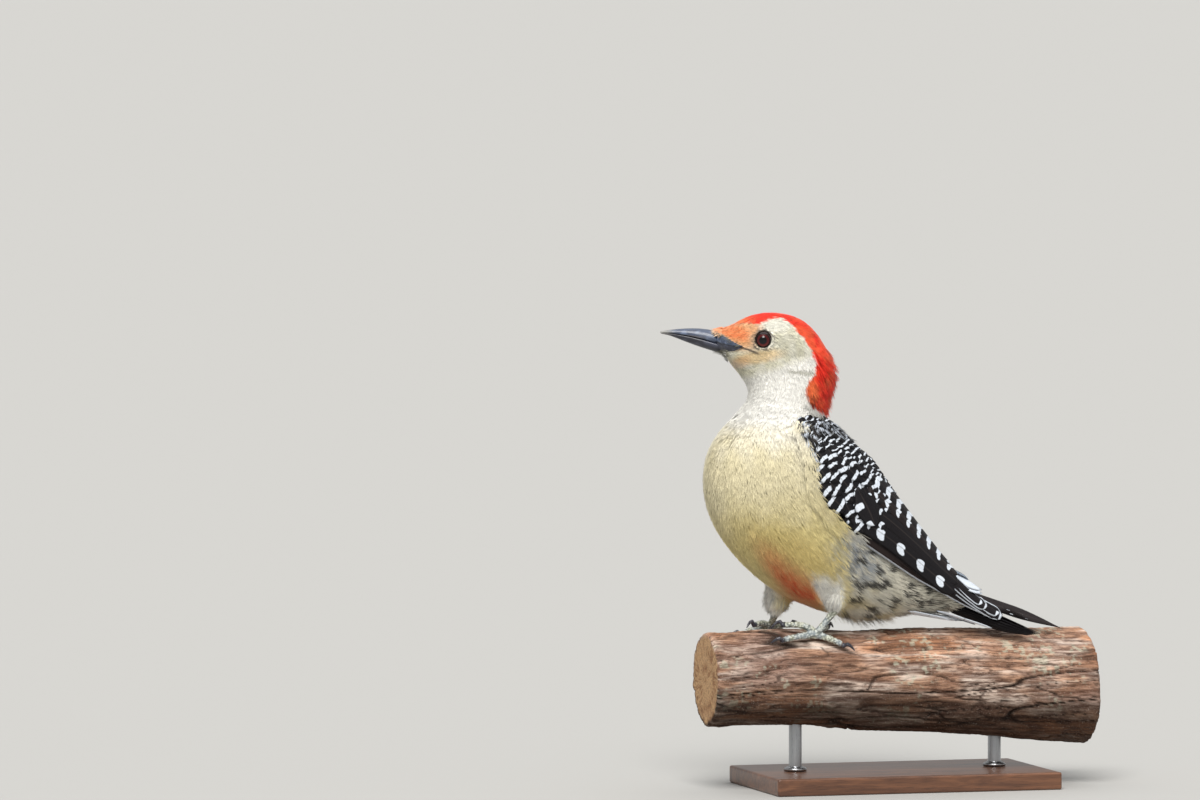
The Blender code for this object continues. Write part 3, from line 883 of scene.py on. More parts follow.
def lock_faces(locks):
    """Triangles of one lock, repeated for every lock."""
    per_lock = 3 * len(RINGS) + 1
    one = [(0, 1, 2)]
    for ring in range(len(RINGS) - 1):
        for k in range(3):
            a, b = ring * 3 + k, ring * 3 + (k + 1) % 3
            one += [(a, a + 3, b), (b, a + 3, b + 3)]
    last = 3 * (len(RINGS) - 1)
    one += [(last + k, per_lock - 1, last + (k + 1) % 3) for k in range(3)]
    starts = np.arange(locks) * per_lock
    return (starts[:, None, None] + np.array(one)[None]).reshape(-1, 3)


def rows_of(style, rows):
    """The style of some of the tufts: rows of what differs between tufts, the rest as it is."""
    return {k: (v[rows] if isinstance(v, np.ndarray) else v) for k, v in style.items()}


class Coat:
    """Grows tufts of one soft material, with one run of random numbers for all of them."""

    def __init__(self, material, rng):
        self.material, self.rng = material, rng

    def scatter(self, surface, spacing, keep):
        return scattered(surface, spacing, keep, self.rng)

    def grow(self, name, surface, roots, slot, colour=plumage, way=lie, **style):
        """Builds the tufts as one or more pieces, each under the most triangles allowed."""
        per_tuft = style["locks"] * (6 * (len(RINGS) - 1) + 4)
        order = np.argsort(girth(roots)[0], kind="stable")
        parts = max(1, math.ceil(len(roots) * per_tuft / MOST_TRIANGLES))
        for number, rows in enumerate(np.array_split(order, parts)):
            points, faces, colours, flat, normals = tufts(
                surface, roots[rows], rows_of(style, rows), self.rng, colour, way
            )
            title = f"{name}_{number + 1}" if parts > 1 else name
            maps = {"OFBake": flat}
            piece = build(title, points, (faces,), {"Tint": colours}, maps, normals)
            finish_piece(piece, self.material)


def covered_by_wing(points, normals, wings):
    """Whether the wings hide each point of the skin, and the places that it grows towards."""
    hidden = np.ones(len(points), bool)
    ahead = points + lie(points, normals) * TUFT_AHEAD * MM
    for places in (points, ahead):
        looks = zip((places + normals * LOOK_FROM * MM).tolist(), normals.tolist())
        found = [wings.tree.ray_cast(p, Vector(n), LOOK_REACH * MM) for p, n in looks]
        hidden &= np.array([f[0] is not None for f in found])
    return hidden


def tuft_depth(points):
    return (coat_depth(points) - shoulder_hollow(points)) * 1.05


def head_style(points):
    """Sizes of the tufts on the head, shortest round the bill and the eyes."""
    f, u, out = face_map(points)
    red = smooth(-1.0, 1.0, -beyond(f, u, RED_EDGE))
    near = blob(f, u, (0.5, -0.3), (7.5, 7.0), 0, 0.5) * smooth(5.0, 8.0, out)
    front = smooth(6.0, 18.0, f)
    nape = red * smooth(-2.0, -22.0, u) * smooth(-12.0, -20.0, f)
    return dict(
        length=4.2 + 0.8 * red + 2.6 * nape - 2.1 * np.maximum(near, 0.8 * front),
        width=0.31 + 0.06 * nape - 0.10 * np.maximum(near, front),
        flare=0.25 * red * smooth(0.0, -10.0, u) + 1.0 * nape,
        depth=tuft_depth(points), fan=15.0, locks=5, variety=0.20,
    )


def body_style(points, rng):
    """Sizes of the tufts on the body, longest at the vent and shortest at the throat."""
    b, h, _ = trunk_map(points)
    fluff = thigh_share(points)
    vent = smooth(62.0, 72.0, b) * smooth(30.0, 12.0, h)
    throat = smooth(76.0, 92.0, h)
    loose = np.maximum(fluff, vent) * rng.uniform(0.1, 1.0, len(points)) ** 2
    return dict(
        length=9.4 + 1.6 * vent - 1.6 * fluff - 3.6 * throat, width=0.44 - 0.09 * throat,
        flare=0.15 + 2.2 * loose, depth=tuft_depth(points), fan=15.0, locks=8, variety=0.10,
    )


def on_gape(f, u, spare):
    """Whether the horn at the corner of the mouth shows here, with some room round it."""
    top, low = (np.interp(f, GAPE_FORWARD, limit) for limit in (GAPE_TOP, GAPE_LOW))
    return (f > GAPE_FORWARD[0]) & (u < top + spare) & (u > low - spare)


def make_coat(coat, surface, wings):
    """The tufts of the head, the nape and the body."""
    eyes = [node_centre(f"eye_{side}") for side in SIDES]

    def on_head(points):
        f, u, _ = face_map(points)
        from_eyes = np.min([np.linalg.norm(points - eye, axis=1) for eye in eyes], axis=0)
        return (u > -30.0) & (f < 19.6) & ~on_gape(f, u, 0.2) & (from_eyes > EYE_CLEAR * MM)

    def on_hackles(points):
        f, u, _ = face_map(points)
        return (f < -17.0) & (u < -2.0) & (u > -27.0) & (beyond(f, u, RED_EDGE) < -0.8)

    def on_body(points):
        return face_map(points)[1] <= -27.0

    head = coat.scatter(surface, HEAD_SPACING, on_head)
    coat.grow("head_coat", surface, head, "head_feathers", **head_style(head))
    nape = coat.scatter(surface, HACKLE_SPACING, on_hackles)
    flare = coat.rng.uniform(0.6, 2.8, len(nape)) * smooth(0.0, -9.0, face_map(nape)[1])
    coat.grow("hackles", surface, nape, "head_feathers", length=8.0, width=0.55, depth=1.7,
              flare=flare, fan=20.0, locks=8, variety=0.16)
    body = coat.scatter(surface, BODY_SPACING, on_body)
    places, normals = surface.nearest(body)
    at_tail = (trunk_map(places)[0] > 112.0) & (normals[:, 0] > 0.7)
    body = body[~covered_by_wing(places, normals, wings) & ~at_tail]
    coat.grow("body_coat", surface, body, "body_feathers", **body_style(body, coat.rng))


def forward_lie(points, normals):
    """The way the short feathers and bristles round the bill lie: forward, a little down."""
    return on_surface((HEAD_FORWARD - 0.18 * UP)[None], normals)


def bristle_tint(points):
    return blend(SHADOW, FACE_GREY, cloud(points, 0.6 * MM, 9))


def make_muzzle(coat, muzzle):
    """The short feathers that point forward over the root of the bill, and the bristles
    round it."""

    def on_nose(points):
        f, u, _ = face_map(points)
        top = np.interp(f, GAPE_FORWARD, GAPE_TOP)
        return (f > 17.6 + 1.6 * cloud(points, 1.5 * MM, 12)) & (f < 21.2) & (u > top - 0.4)

    def on_lore(points):
        f, u, _ = face_map(points)
        top = np.interp(f, GAPE_FORWARD, GAPE_TOP)
        return (f > 11.0) & (f < 20.5) & (u > top - 0.3) & (u < top + 0.9)

    def on_chin(points):
        f, u, _ = face_map(points)
        low = np.interp(f, GAPE_FORWARD, GAPE_LOW)
        return (f > 16.0) & (f < 21.0) & (u < low + 0.4)

    nose = coat.scatter(muzzle, NOSE_SPACING, on_nose)
    coat.grow("nasal_tufts", muzzle, nose, "head_feathers", way=forward_lie,
              length=coat.rng.uniform(1.6, 4.6, len(nose)), width=0.20, depth=0.25, flare=0.0,
              fan=20.0, locks=5, variety=0.2)
    lore = coat.scatter(muzzle, LORE_SPACING, on_lore)
    coat.grow("lore_bristles", muzzle, lore, "head_feathers", bristle_tint, forward_lie,
              length=2.8, width=0.11, depth=0.75, flare=0.2, fan=22.0, locks=3, variety=0.3)
    chin = coat.scatter(muzzle, CHIN_SPACING, on_chin)
    coat.grow("chin_bristles", muzzle, chin, "head_feathers", bristle_tint, forward_lie,
              length=3.0, width=0.12, depth=0.5, flare=0.6, fan=26.0, locks=4, variety=0.3)


def down_the_leg(points, normals):
    """The way the fluff of the thighs lies: towards a place a little down each shank."""
    aims = np.where((points[:, 1] < MIDDLE_Y)[:, None], SHANK_TOPS["left"], SHANK_TOPS["right"])
    return on_surface(unit(aims - points - UP * 3.0 * MM), normals)


def drooping(points, normals):
    """The way the loose feathers under the tail lie: back and a little down."""
    return on_surface(lie(points, normals) - UP * 0.6, normals)


def make_fluff(coat, skin, legs):
    """The loose feathers that hang over the shanks and behind the legs."""

    def on_thighs(points):
        return (thigh_share(points) > 0.15) & (above_shank(points) > 0.5)

    def on_vent(points):
        b, h, _ = trunk_map(points)
        return (b > 60.0) & (b < 92.0) & (h < 12.0)

    thighs = coat.scatter(legs, THIGH_SPACING, on_thighs)
    inner = thigh_share(thighs)
    coat.grow("thigh_fluff", legs, thighs, "body_feathers", way=down_the_leg,
              length=np.clip(above_shank(thighs) + 2.2, 2.4, 7.0), width=0.34,
              depth=0.3 + 0.35 * inner + under_coat(thighs),
              flare=1.8 * inner * coat.rng.uniform(0.0, 1.0, len(thighs)) ** 2, fan=16.0,
              locks=8, variety=0.12)
    vent = coat.scatter(skin, VENT_SPACING, on_vent)
    low = smooth(9.0, 4.0, trunk_map(vent)[1]) * smooth(86.0, 78.0, trunk_map(vent)[0])
    coat.grow("vent_fluff", skin, vent, "body_feathers", way=drooping,
              length=coat.rng.uniform(8.0, 14.0, len(vent)), width=0.36, depth=2.3,
              flare=(0.3 + 5.5 * low) * coat.rng.uniform(0.05, 1.0, len(vent)) ** 1.5,
              fan=26.0, locks=8, variety=0.18)


# ---------------------------------------------------------------- vaned feathers

VANE_THICKNESS = 0.22


def quads(numbers):
    """Faces between the rows and columns of a grid of point numbers."""
    corners = [numbers[:-1, :-1], numbers[:-1, 1:], numbers[1:, 1:], numbers[1:, :-1]]
    return np.stack(corners, axis=-1).reshape(-1, 4)


def slab(grid, normals, thickness):
    """Points and faces of a closed thin shape: a grid of places, and the same grid without
    its border moved in by thickness millimetres."""
    rows, columns = grid.shape[:2]
    top = np.arange(rows * columns).reshape(rows, columns)
    under = top.copy()
    inner = np.arange((rows - 2) * (columns - 2)).reshape(rows - 2, columns - 2)
    under[1:-1, 1:-1] = inner + rows * columns
    low = grid[1:-1, 1:-1] - normals[1:-1, 1:-1] * thickness * MM
    faces = [quads(top), quads(under)]
    out = np.cross(grid[1, 0] - grid[0, 0], grid[0, -1] - grid[0, 0]) @ normals[0, 0]
    turned = 0 if out > 0 else 1
    faces[turned] = faces[turned][:, ::-1]
    return np.concatenate([grid.reshape(-1, 3), low.reshape(-1, 3)]), np.concatenate(faces)


class Vanes:
    """Gathers vaned feathers into one mesh. The Print of each point says how its feather is
    marked."""

    def __init__(self):
        self.points, self.faces, self.flat, self.prints = [], [], [], []
        self.total = 0

    def add(self, grid, normals, t, told, length, width):
        """grid: rows by columns of places, root row first; normals: outward, same shape; t:
        each row's share of the length; told: the feather's marks."""
        points, faces = slab(grid, normals, VANE_THICKNESS)
        self.points.append(points)
        self.faces.append(faces + self.total)
        along, across = np.meshgrid(t, np.linspace(-1, 1, grid.shape[1]), indexing="ij")
        edge = np.maximum(np.abs(across), np.clip((along - 0.5) / 0.5, 0, 1) ** 3)
        along, across, edge = (
            np.concatenate([v.ravel(), v[1:-1, 1:-1].ravel()]) for v in (along, across, edge)
        )
        self.flat.append(np.stack([across * 0.5 + 0.5, along], axis=1))
        rows = np.tile([told[k] for k in (*PRINTED, "brown")], (len(edge), 1))
        sizes = np.tile((length / 100.0, width / 100.0), (len(edge), 1))
        self.prints.append(np.hstack([rows[:, :-1], sizes, edge[:, None], rows[:, -1:]]))
        self.total += len(edge)

    def piece(self, name, material, slot, stands_for=()):
        points, faces = np.concatenate(self.points), np.concatenate(self.faces)
        rows = np.concatenate(self.prints)
        prints = {f"Print{k}": rows[:, 4 * k : 4 * k + 4] for k in range(3)}
        number = len(self.flat)
        across = math.ceil(math.sqrt(number))
        index = np.repeat(np.arange(number), [len(rows) for rows in self.flat])
        cell = np.stack([index % across, index // across], axis=1)
        flat = np.concatenate(self.flat)
        maps = {"Vane": flat, "OFBake": (cell + 0.06 + 0.88 * np.clip(flat, 0, 1)) / across}
        finish_piece(build(name, points, (faces,), prints, maps), material, stands_for)


# What the first two Prints hold of a feather's marks: bars along it, each 2 x half of the
# period thick, bent back by bend at the edges, centred aside of the shaft and reaching that
# share of the half width; a pale rim; how light the whole is. The third holds its length and
# width, how near the edge each point is, and how brown the dark is.
PRINTED = ("bars", "phase", "half", "bend", "aside", "reach", "rim", "shade")
PLAIN = dict(bars=0.0, phase=0.0, half=0.2, bend=0.0, aside=0.0, reach=9.0, rim=0.0, shade=1.0,
             brown=0.0)


def marks(**changes):
    return {**PLAIN, **changes}


def outline(t, root, round_from):
    """Half width of a vane, as a share, at each share t of its length."""
    rise = smooth(-0.05, root, t) * 0.75 + 0.25
    tip = np.sqrt(np.clip(1 - (np.clip(t - round_from, 0, 1) / (1 - round_from)) ** 2, 0.0, 1))
    return np.maximum(rise * tip, 0.03)


class Sheet:
    """A slanted sheet beside one wing, seen from above and outside, and where it falls on
    the bird: x runs back along the bird and c up across the sheet, both in millimetres."""

    TILT = math.radians(35.0)
    MOST_MISSED = 0.6

    def __init__(self, form, side):
        self.form, self.side = form, side
        self.way = np.array((0.0, -side * math.cos(self.TILT), -math.sin(self.TILT)))
        self.across = np.array((0.0, -side * math.sin(self.TILT), math.cos(self.TILT)))

    def fall(self, x, c):
        """Origins on the sheet, how deep the form lies under each (nan if it doesn't)
        and the form's normals there."""
        start = np.array((0.0, MIDDLE_Y, 0.0)) - self.way * 0.3
        origins = start + np.outer(np.ravel(x) * MM, (1, 0, 0))
        origins = origins + np.outer(np.ravel(c) * MM, self.across)
        places, normals, landed = self.form.along(origins, self.way)
        landed &= (normals @ self.way) < -0.02
        deep = np.where(landed, (places - origins) @ self.way, np.nan)
        normals = np.where(landed[:, None], normals, -self.way)
        shape = np.shape(x)
        return origins.reshape(*shape, 3), deep.reshape(shape), normals.reshape(*shape, 3)

    def roots(self, x, c):
        """The places on the form under points of the sheet, but for those that miss it."""
        origins, deep, _ = self.fall(x, c)
        return (origins + self.way * deep[:, None])[~np.isnan(deep)]

    def vane(self, vanes, start, end, width, told, bow=0.0, lift=(0.0, 0.8), camber=0.35,
             rows=8, columns=7, root=0.25, round_from=0.6):
        """One feather from start to end on the sheet, its middle moved aside by bow. It is
        left out where most of it would miss the form."""
        start, end = np.array(start, float), np.array(end, float)
        length = np.linalg.norm(end - start)
        t = 1 - (1 - np.linspace(0, 1, rows)) ** 1.5
        b = np.linspace(-1, 1, columns)
        heading = (end - start) / length
        upward = np.array((-heading[1], heading[0]))
        middle = start + np.outer(t, end - start) + np.outer(4 * t * (1 - t) * bow, upward)
        slope = unit((end - start)[None] + np.outer(4 * (1 - 2 * t) * bow, upward))
        aside = np.stack([-slope[:, 1], slope[:, 0]], axis=1)
        half = outline(t, root, round_from) * width / 2
        flat = middle[:, None] + aside[:, None] * (half[:, None] * b[None])[..., None]
        origins, deep, normals = self.fall(flat[..., 0], flat[..., 1])
        if np.isnan(deep).mean() > self.MOST_MISSED:
            return
        for row in range(rows):
            known = ~np.isnan(deep[row])
            if known.any():
                deep[row] = np.interp(b, b[known], deep[row][known])
            elif row:
                deep[row] = deep[row - 1]
        for row in range(rows - 2, -1, -1):
            if np.isnan(deep[row]).any():
                deep[row] = deep[row + 1]
        if rows > 10:
            deep[1:-1] = 0.25 * deep[:-2] + 0.5 * deep[1:-1] + 0.25 * deep[2:]
        normals = unit(normals - 0.35 * self.way)
        rise = lift[0] + (lift[1] - lift[0]) * t[:, None] + camber * (1 - b ** 2)[None]
        grid = origins + self.way * deep[..., None] + normals * (rise * MM)[..., None]
        vanes.add(grid, normals, t, told, length, width)


def vane_material(name, shaft_shows=0.35):
    """Black and white vanes: the marks come from each feather's own numbers."""
    n = Nodes(name, roughness=0.5)
    n.set(n.shader, Specular_IOR_Level=0.2)
    uv = n.tree.nodes.new("ShaderNodeUVMap")
    uv.uv_map = "Vane"
    place = n.add("ShaderNodeSeparateXYZ", Vector=uv.outputs[0])
    b = n.number("MULTIPLY_ADD", place.outputs[0], 2.0, -1.0)
    t = place.outputs[1]
    told = []
    for k in range(3):
        node = n.attribute(f"Print{k}")
        parts = n.add("ShaderNodeSeparateColor", Color=node.outputs["Color"])
        told.append([*parts.outputs[:3], node.outputs["Alpha"]])
    (bars, phase, half, bend), (aside, reach, rim, shade), (length, width, edge, brown) = told
    side = n.number("ABSOLUTE", b)
    wander = n.times(n.minus(n.noise(1.5, detail=2.0), 0.5), 0.013)
    wander = n.times(wander, n.number("DIVIDE", bars, length))
    bent = n.number("MULTIPLY_ADD", side, bend, t)
    cycle = n.number("FRACT", n.plus(n.plus(n.times(bent, bars), phase), wander))
    down = n.number("DIVIDE", n.minus(cycle, 0.5), n.number("MAXIMUM", half, 0.01))
    over = n.number("DIVIDE", n.minus(b, aside), reach)
    square = n.times(over, over)
    size = n.plus(n.times(down, down), n.times(square, square))
    barred = n.times(n.ramp(size, 1.25, 0.8), n.number("GREATER_THAN", bars, 0.05))
    on_rim = n.times(n.ramp(n.plus(edge, rim), 0.985, 1.03), n.ramp(t, 0.44, 0.56))
    white = n.number("MAXIMUM", barred, on_rim, clamp=True)
    streak_x = n.times(n.times(side, width), 100.0)
    streak_y = n.times(n.times(t, length), 100.0)
    barb = n.number("SINE", n.times(n.minus(streak_y, streak_x), 9.0))
    rough = n.noise(0.5, detail=2.0)
    dark = n.mix(brown, linear(15, 14, 18), linear(74, 52, 42))
    dark = n.mix(n.ramp(rough, 0.35, 0.75, 0.0, 0.14), dark, linear(58, 56, 60))
    pale = n.mix(n.ramp(rough, 0.3, 0.7, 0.0, 0.45), linear(226, 233, 242), linear(182, 190, 202))
    shaft = n.times(n.ramp(side, 0.10, 0.02, 0.0, shaft_shows), n.number("GREATER_THAN", width, 0.06))
    colour = n.mix(shaft, n.mix(white, dark, pale), linear(70, 62, 58))
    colour = n.mix(n.minus(1.0, shade), colour, linear(0, 0, 0))
    n.bump(n.number("MULTIPLY_ADD", barb, 0.35, rough), 0.08, 0.6)
    return n.done(colour)


# Where the plumage of the wings begins in front, and where the long feathers come out, on
# the sheet.
WING_FRONT = (
    (10.0, 141.0), (-22.0, 136.0), (-38.0, 131.0), (-52.5, 127.5), (-48.6, 113.0), (-48.0, 98.5),
    (-38.5, 87.5), (-29.0, 81.5), (-20.0, 79.0), (-8.0, 72.0), (10.0, 64.5),
)
COVERTS_END = ((-20.0, 76.0), (-17.0, 86.0), (-12.0, 96.0), (-4.0, 110.0), (2.0, 122.0))
BACK_END = 16.0
ROWS_LEAN = -50.0
LOT_MIDDLE, LOT_REACH = (-20.0, 108.0), 62.0

# The barred feathers in three lots: distance between them along and across, length and width,
# distance between bars, half a bar's thickness as a share of that, how far a bar reaches and
# how far it may be out of place.
MANTLE = (3.0, 4.6, 7.6, 5.8, 2.9, 0.135, 9.0, 0.5)
BACK = (3.9, 5.0, 9.0, 6.6, 4.0, 0.17, 1.25, 0.2)
COVERTS = (4.5, 6.0, 10.8, 7.6, 4.7, 0.15, 1.3, 0.10)


def lot_of_feathers(sheet, vanes, lot, belongs, rng):
    """One lot of barred feathers in staggered rows over its part of the sheet."""
    along, across, length, width, period, half, reach, astray = lot
    lean = math.radians(ROWS_LEAN)
    heading = np.array((math.cos(lean), math.sin(lean)))
    aside = np.array((-heading[1], heading[0]))
    rows, columns = int(LOT_REACH / along), int(LOT_REACH / across)
    for row in range(-rows, rows):
        for column in range(-columns, columns):
            shift = 0.5 if row % 2 else 0.0
            place = LOT_MIDDLE + heading * along * row + aside * across * (column + shift)
            place = place + rng.uniform(-0.2, 0.2, 2) * (along, across)
            turn = math.radians(rng.uniform(-14, 14) + 14 * float(smooth(-40, 0, place[0])))
            size, fat = length * rng.uniform(0.92, 1.1), width * rng.uniform(0.9, 1.1)
            loose = rng.uniform(-1, 1, 4)
            if not belongs(place):
                continue
            way = np.array((math.cos(lean + turn), math.sin(lean + turn)))
            shown = 1 - 0.55 * along / size
            told = marks(
                bars=size / period, phase=0.5 - shown * size / period + astray * loose[0],
                half=half * (1 + 0.2 * loose[1]), bend=0.06 * loose[2],
                reach=reach, aside=0.12 * loose[3], shade=0.97,
                brown=0.12 * float(smooth(-20, 10, place[0])),
            )
            sheet.vane(vanes, place - way * size * 0.6, place + way * size * 0.4, fat, told,
                       lift=(-0.45, 0.6), camber=0.3, round_from=0.5)


def small_feathers(sheet, vanes, rng):
    """The barred feathers of the mantle, the back and the coverts."""

    def place_off(place):
        origins, deep, _ = sheet.fall(np.array([place[0]]), np.array([place[1]]))
        return float(((origins[0] + sheet.way * deep[0])[1] - MIDDLE_Y) * sheet.side / MM)

    def kind(place):
        x, c = place
        if float(beyond(x, c, WING_FRONT)) < 0.3 + 3.4 * float(smooth(100, 90, c)):
            return ""
        off = place_off(place)
        if math.isnan(off) or off < -0.8:
            return ""
        on_coverts = float(beyond(x, c, COVERTS_END)) > 0
        if not on_coverts and not (off < 10.0 - 0.15 * (x + 20) and x < BACK_END):
            return ""
        if c > 117.0 - 0.25 * (x + 45.0):
            return "mantle"
        return "coverts" if off > 12.0 else "back"

    for title, lot in (("back", BACK), ("coverts", COVERTS), ("mantle", MANTLE)):

        def belongs(place):
            return kind(place) == title

        lot_of_feathers(sheet, vanes, lot, belongs, rng)


WING_SEED = 23
PRIMARIES = 7
LONG_ROWS = 26
# What the long feathers of the sheet have in common.
LONG = dict(rows=LONG_ROWS, root=0.1)

# The layers of long barred feathers: start, end, width, bow, and of their marks bars, phase,
# half, aside, reach and brown.
LAYERS = (
    ((-32.0, 88.5), (21.5, 64.4), 8.6, 1.6, 5.2, 0.05, 0.18, -0.12, 0.50, 0.02),
    ((-26.0, 95.0), (23.5, 68.5), 8.6, 1.8, 0.0, 0.40, 0.15, -0.45, 0.42, 0.03),
    ((-22.0, 101.5), (24.0, 72.5), 8.0, 2.2, 8.6, 0.75, 0.17, 0.20, 0.80, 0.12),
    ((-18.0, 107.5), (21.0, 78.5), 8.6, 2.0, 7.4, 0.15, 0.20, 0.0, 1.30, 0.04),
)
# The tips of the quills that lie one inside the other at the back, each with a white rim:
# end and width.
NESTED = (((46.0, 56.7), 7.6), ((44.6, 57.7), 6.0), ((38.6, 60.2), 7.0), ((36.3, 61.4), 5.2))


def long_feathers(sheet, vanes):
    """The primaries, the nested quills, the barred layers and the feather at the shoulder."""
    for k in range(PRIMARIES):
        share = k / (PRIMARIES - 1)
        start = (-34.0 + 12 * share, 87.0 + 5.0 * share)
        end = (47.0 - 26.0 * share ** 1.1, 58.0 + 8.0 * share)
        told = marks(brown=0.22 - 0.18 * share, shade=0.95)
        if k == 0:
            told.update(bars=1.0, half=0.7, aside=-1.0, reach=0.15)
        sheet.vane(vanes, start, end, 7.4, told, bow=-2.0 + 1.4 * share, camber=0.25, columns=9,
                   lift=(-0.5 + 0.1 * k, -0.2 + 0.12 * k), round_from=0.9, **LONG)
    for k, (end, width) in enumerate(NESTED):
        told = marks(rim=1.1 / width, brown=0.05, shade=0.95)
        sheet.vane(vanes, (-2.0 + 2 * k, 80.0 + k), end, width, told, bow=-0.6, camber=0.25,
                   columns=11, lift=(0.2, 0.62 + 0.14 * k), round_from=0.9, **LONG)
    for k, (start, end, width, bow, bars, phase, half, aside, reach, brown) in enumerate(LAYERS):
        told = marks(bars=bars, phase=phase, half=half, aside=aside, reach=reach, brown=brown,
                     bend=-0.03)
        sheet.vane(vanes, start, end, width, told, bow=bow, camber=0.3, columns=9,
                   lift=(0.1 + 0.1 * k, 1.0 + 0.12 * k), round_from=0.87, **LONG)
    told = marks(bars=2.0, phase=0.62, half=0.17, aside=-0.62, reach=0.42, brown=0.02)
    sheet.vane(vanes, (-28.0, 99.5), (-20.0, 85.0), 12.4, told, bow=0.4, lift=(0.3, 1.7),
               camber=0.5, rows=18, columns=11, root=0.5, round_from=0.40)


def make_wings(form):
    rng = np.random.default_rng(WING_SEED)
    material = vane_material("wing_vanes")
    for name, side in SIDES.items():
        sheet = Sheet(form, side)
        long, small = Vanes(), Vanes()
        long_feathers(sheet, long)
        small_feathers(sheet, small, rng)
        small.piece(f"coverts_{name}", material, "wing_feathers", (f"wing_{name}",))
        long.piece(f"quills_{name}", material, "wing_feathers", (f"flight_feathers_{name}",))


EDGING_TUFTS = 240
SHOULDER_TRIES = 1500


def make_edging(coat, form):
    """Body feathers that lie over the front edge of each wing and soften it."""
    line = np.array(WING_FRONT[2:9])
    long = np.concatenate([[0], np.cumsum(np.linalg.norm(np.diff(line, axis=0), axis=1))])
    for name, side in SIDES.items():
        where = coat.rng.uniform(9.0, long[-1] - 5.5, EDGING_TUFTS)
        x = np.interp(where, long, line[:, 0]) - coat.rng.uniform(0.0, 4.0, EDGING_TUFTS)
        c = np.interp(where, long, line[:, 1]) - coat.rng.uniform(-1.0, 2.0, EDGING_TUFTS)
        coat.grow(f"wing_edging_{name}", form, Sheet(form, side).roots(x, c), "body_feathers",
                  trunk_marks, length=7.0, width=0.26, depth=1.0, flare=0.3, fan=20.0, locks=6,
                  variety=0.10)


def mottled(points):
    """Black down with white streaks, on the shoulders."""
    streaks = cloud(points, (1.7 * MM, 0.8 * MM, 0.8 * MM), 17)
    tone = blend(INK, SHADOW, smooth(0.3, 0.7, cloud(points, 2.5 * MM, 18)))
    return blend(tone, DOWN_WHITE, 0.95 * smooth(0.56, 0.66, streaks))


def make_shoulders(coat, form):
    """Soft mottled feathers where the mantle begins behind the breast and the nape."""
    rng = coat.rng
    for name, side in SIDES.items():
        x = rng.uniform(-56.0, -20.0, SHOULDER_TRIES)
        c = rng.uniform(105.0, 142.0, SHOULDER_TRIES)
        inside = beyond(x, c, WING_FRONT)
        reach = 8.0 * smooth(110.0, 126.0, c) * rng.random(SHOULDER_TRIES)
        kept = (inside > -0.5) & (inside < reach)
        roots = Sheet(form, side).roots(x[kept], c[kept])
        roots = roots[(roots[:, 1] - MIDDLE_Y) * side > -1.0 * MM]
        coat.grow(f"shoulder_down_{name}", form, roots, "wing_feathers", mottled, length=5.2,
                  width=0.32, depth=1.0 + 0.5 * smooth(-50.0, -42.0, roots[:, 0] / MM),
                  flare=0.35, fan=18.0, locks=6, variety=0.14)


# ---------------------------------------------------------------- tail

TAIL_FEATHERS = 7
TAIL_WIDTH, TAIL_STEP = 6.2, 3.6
TAIL_DROP = {"left": 3.2, "right": 1.8}
TAIL_ROLL = {"left": 52.0, "right": 26.0}
TAIL_IN_BODY = 11.0


def free_vane(vanes, root, tip, out, width, told, bow=0.0, camber=0.3, rows=16, columns=7,
              point=1.5, from_share=0.6):
    """A vane in the open: from root to tip, its upper face turned towards out."""
    root, tip, out = (np.array(v, float) for v in (root, tip, out))
    length = np.linalg.norm(tip - root)
    heading = (tip - root) / length
    out = unit(out - heading * (out @ heading))
    side = np.cross(heading, out)
    t = np.linspace(0, 1, rows) ** 0.8
    b = np.linspace(-1, 1, columns)
    taper = 1 - np.clip((t - from_share) / (1 - from_share), 0, 1) ** point
    half = np.maximum((0.3 + 0.7 * smooth(-0.05, 0.12, t)) * taper, 0.04) * width / 2
    rise = camber * (1 - b ** 2)[None] + bow * (4 * t * (1 - t))[:, None]
    grid = root + np.outer(t * length, heading)[:, None] + side * (half[:, None] * b * MM)[..., None]
    grid = grid + out * (rise * MM)[..., None]
    vanes.add(grid, np.broadcast_to(out, grid.shape), t, told, length / MM, width)


def long_axes(name):
    """Root, tip and the broad side's outward direction of a long flat node."""
    points = arrays(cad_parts[name].data)[0]
    middle = points.mean(0)
    axes = np.linalg.svd(points - middle, full_matrices=False)[2]
    along = axes[0] * np.sign(axes[0][0])
    out = axes[2] * np.sign(axes[2][2])
    reach = (points - middle) @ along
    return middle + along * reach.min(), middle + along * reach.max(), out


def make_tail():
    """Two fans of feathers, each laid along its own flat node."""
    material = vane_material("tail_vanes")
    for name, side in SIDES.items():
        root, tip, out = long_axes(f"tail_{name}")
        heading = unit(tip - root)
        across = np.cross(heading, out)
        across = across * np.sign(across[1]) * side
        vanes = Vanes()
        for k in range(TAIL_FEATHERS):
            share = 1 - k / (TAIL_FEATHERS - 1)
            roll = math.radians(TAIL_ROLL[name] * (1.7 * share - 0.7))
            face = out * math.cos(roll) + across * math.sin(roll)
            shift = across * TAIL_STEP * (share - 0.4) + out * (0.5 - share) * TAIL_DROP[name]
            reach = np.linalg.norm(tip - root) * (1.0 - 0.14 * share)
            aim = unit(heading - across * 0.04 * share + out * 0.03 * share)
            told = marks(
                bars=7.0 if k % 3 == 1 and side > 0 else 0.0, phase=0.3, half=0.10, aside=0.95,
                reach=0.2, brown=0.12 if side > 0 else 0.05,
            )
            start = root - heading * TAIL_IN_BODY * MM + shift * MM
            end = start + aim * (reach + TAIL_IN_BODY * MM)
            free_vane(vanes, start, end, face, TAIL_WIDTH, told, bow=0.3, rows=18)
        vanes.piece(f"tail_feathers_{name}", material, "tail_feathers", (f"tail_{name}",))


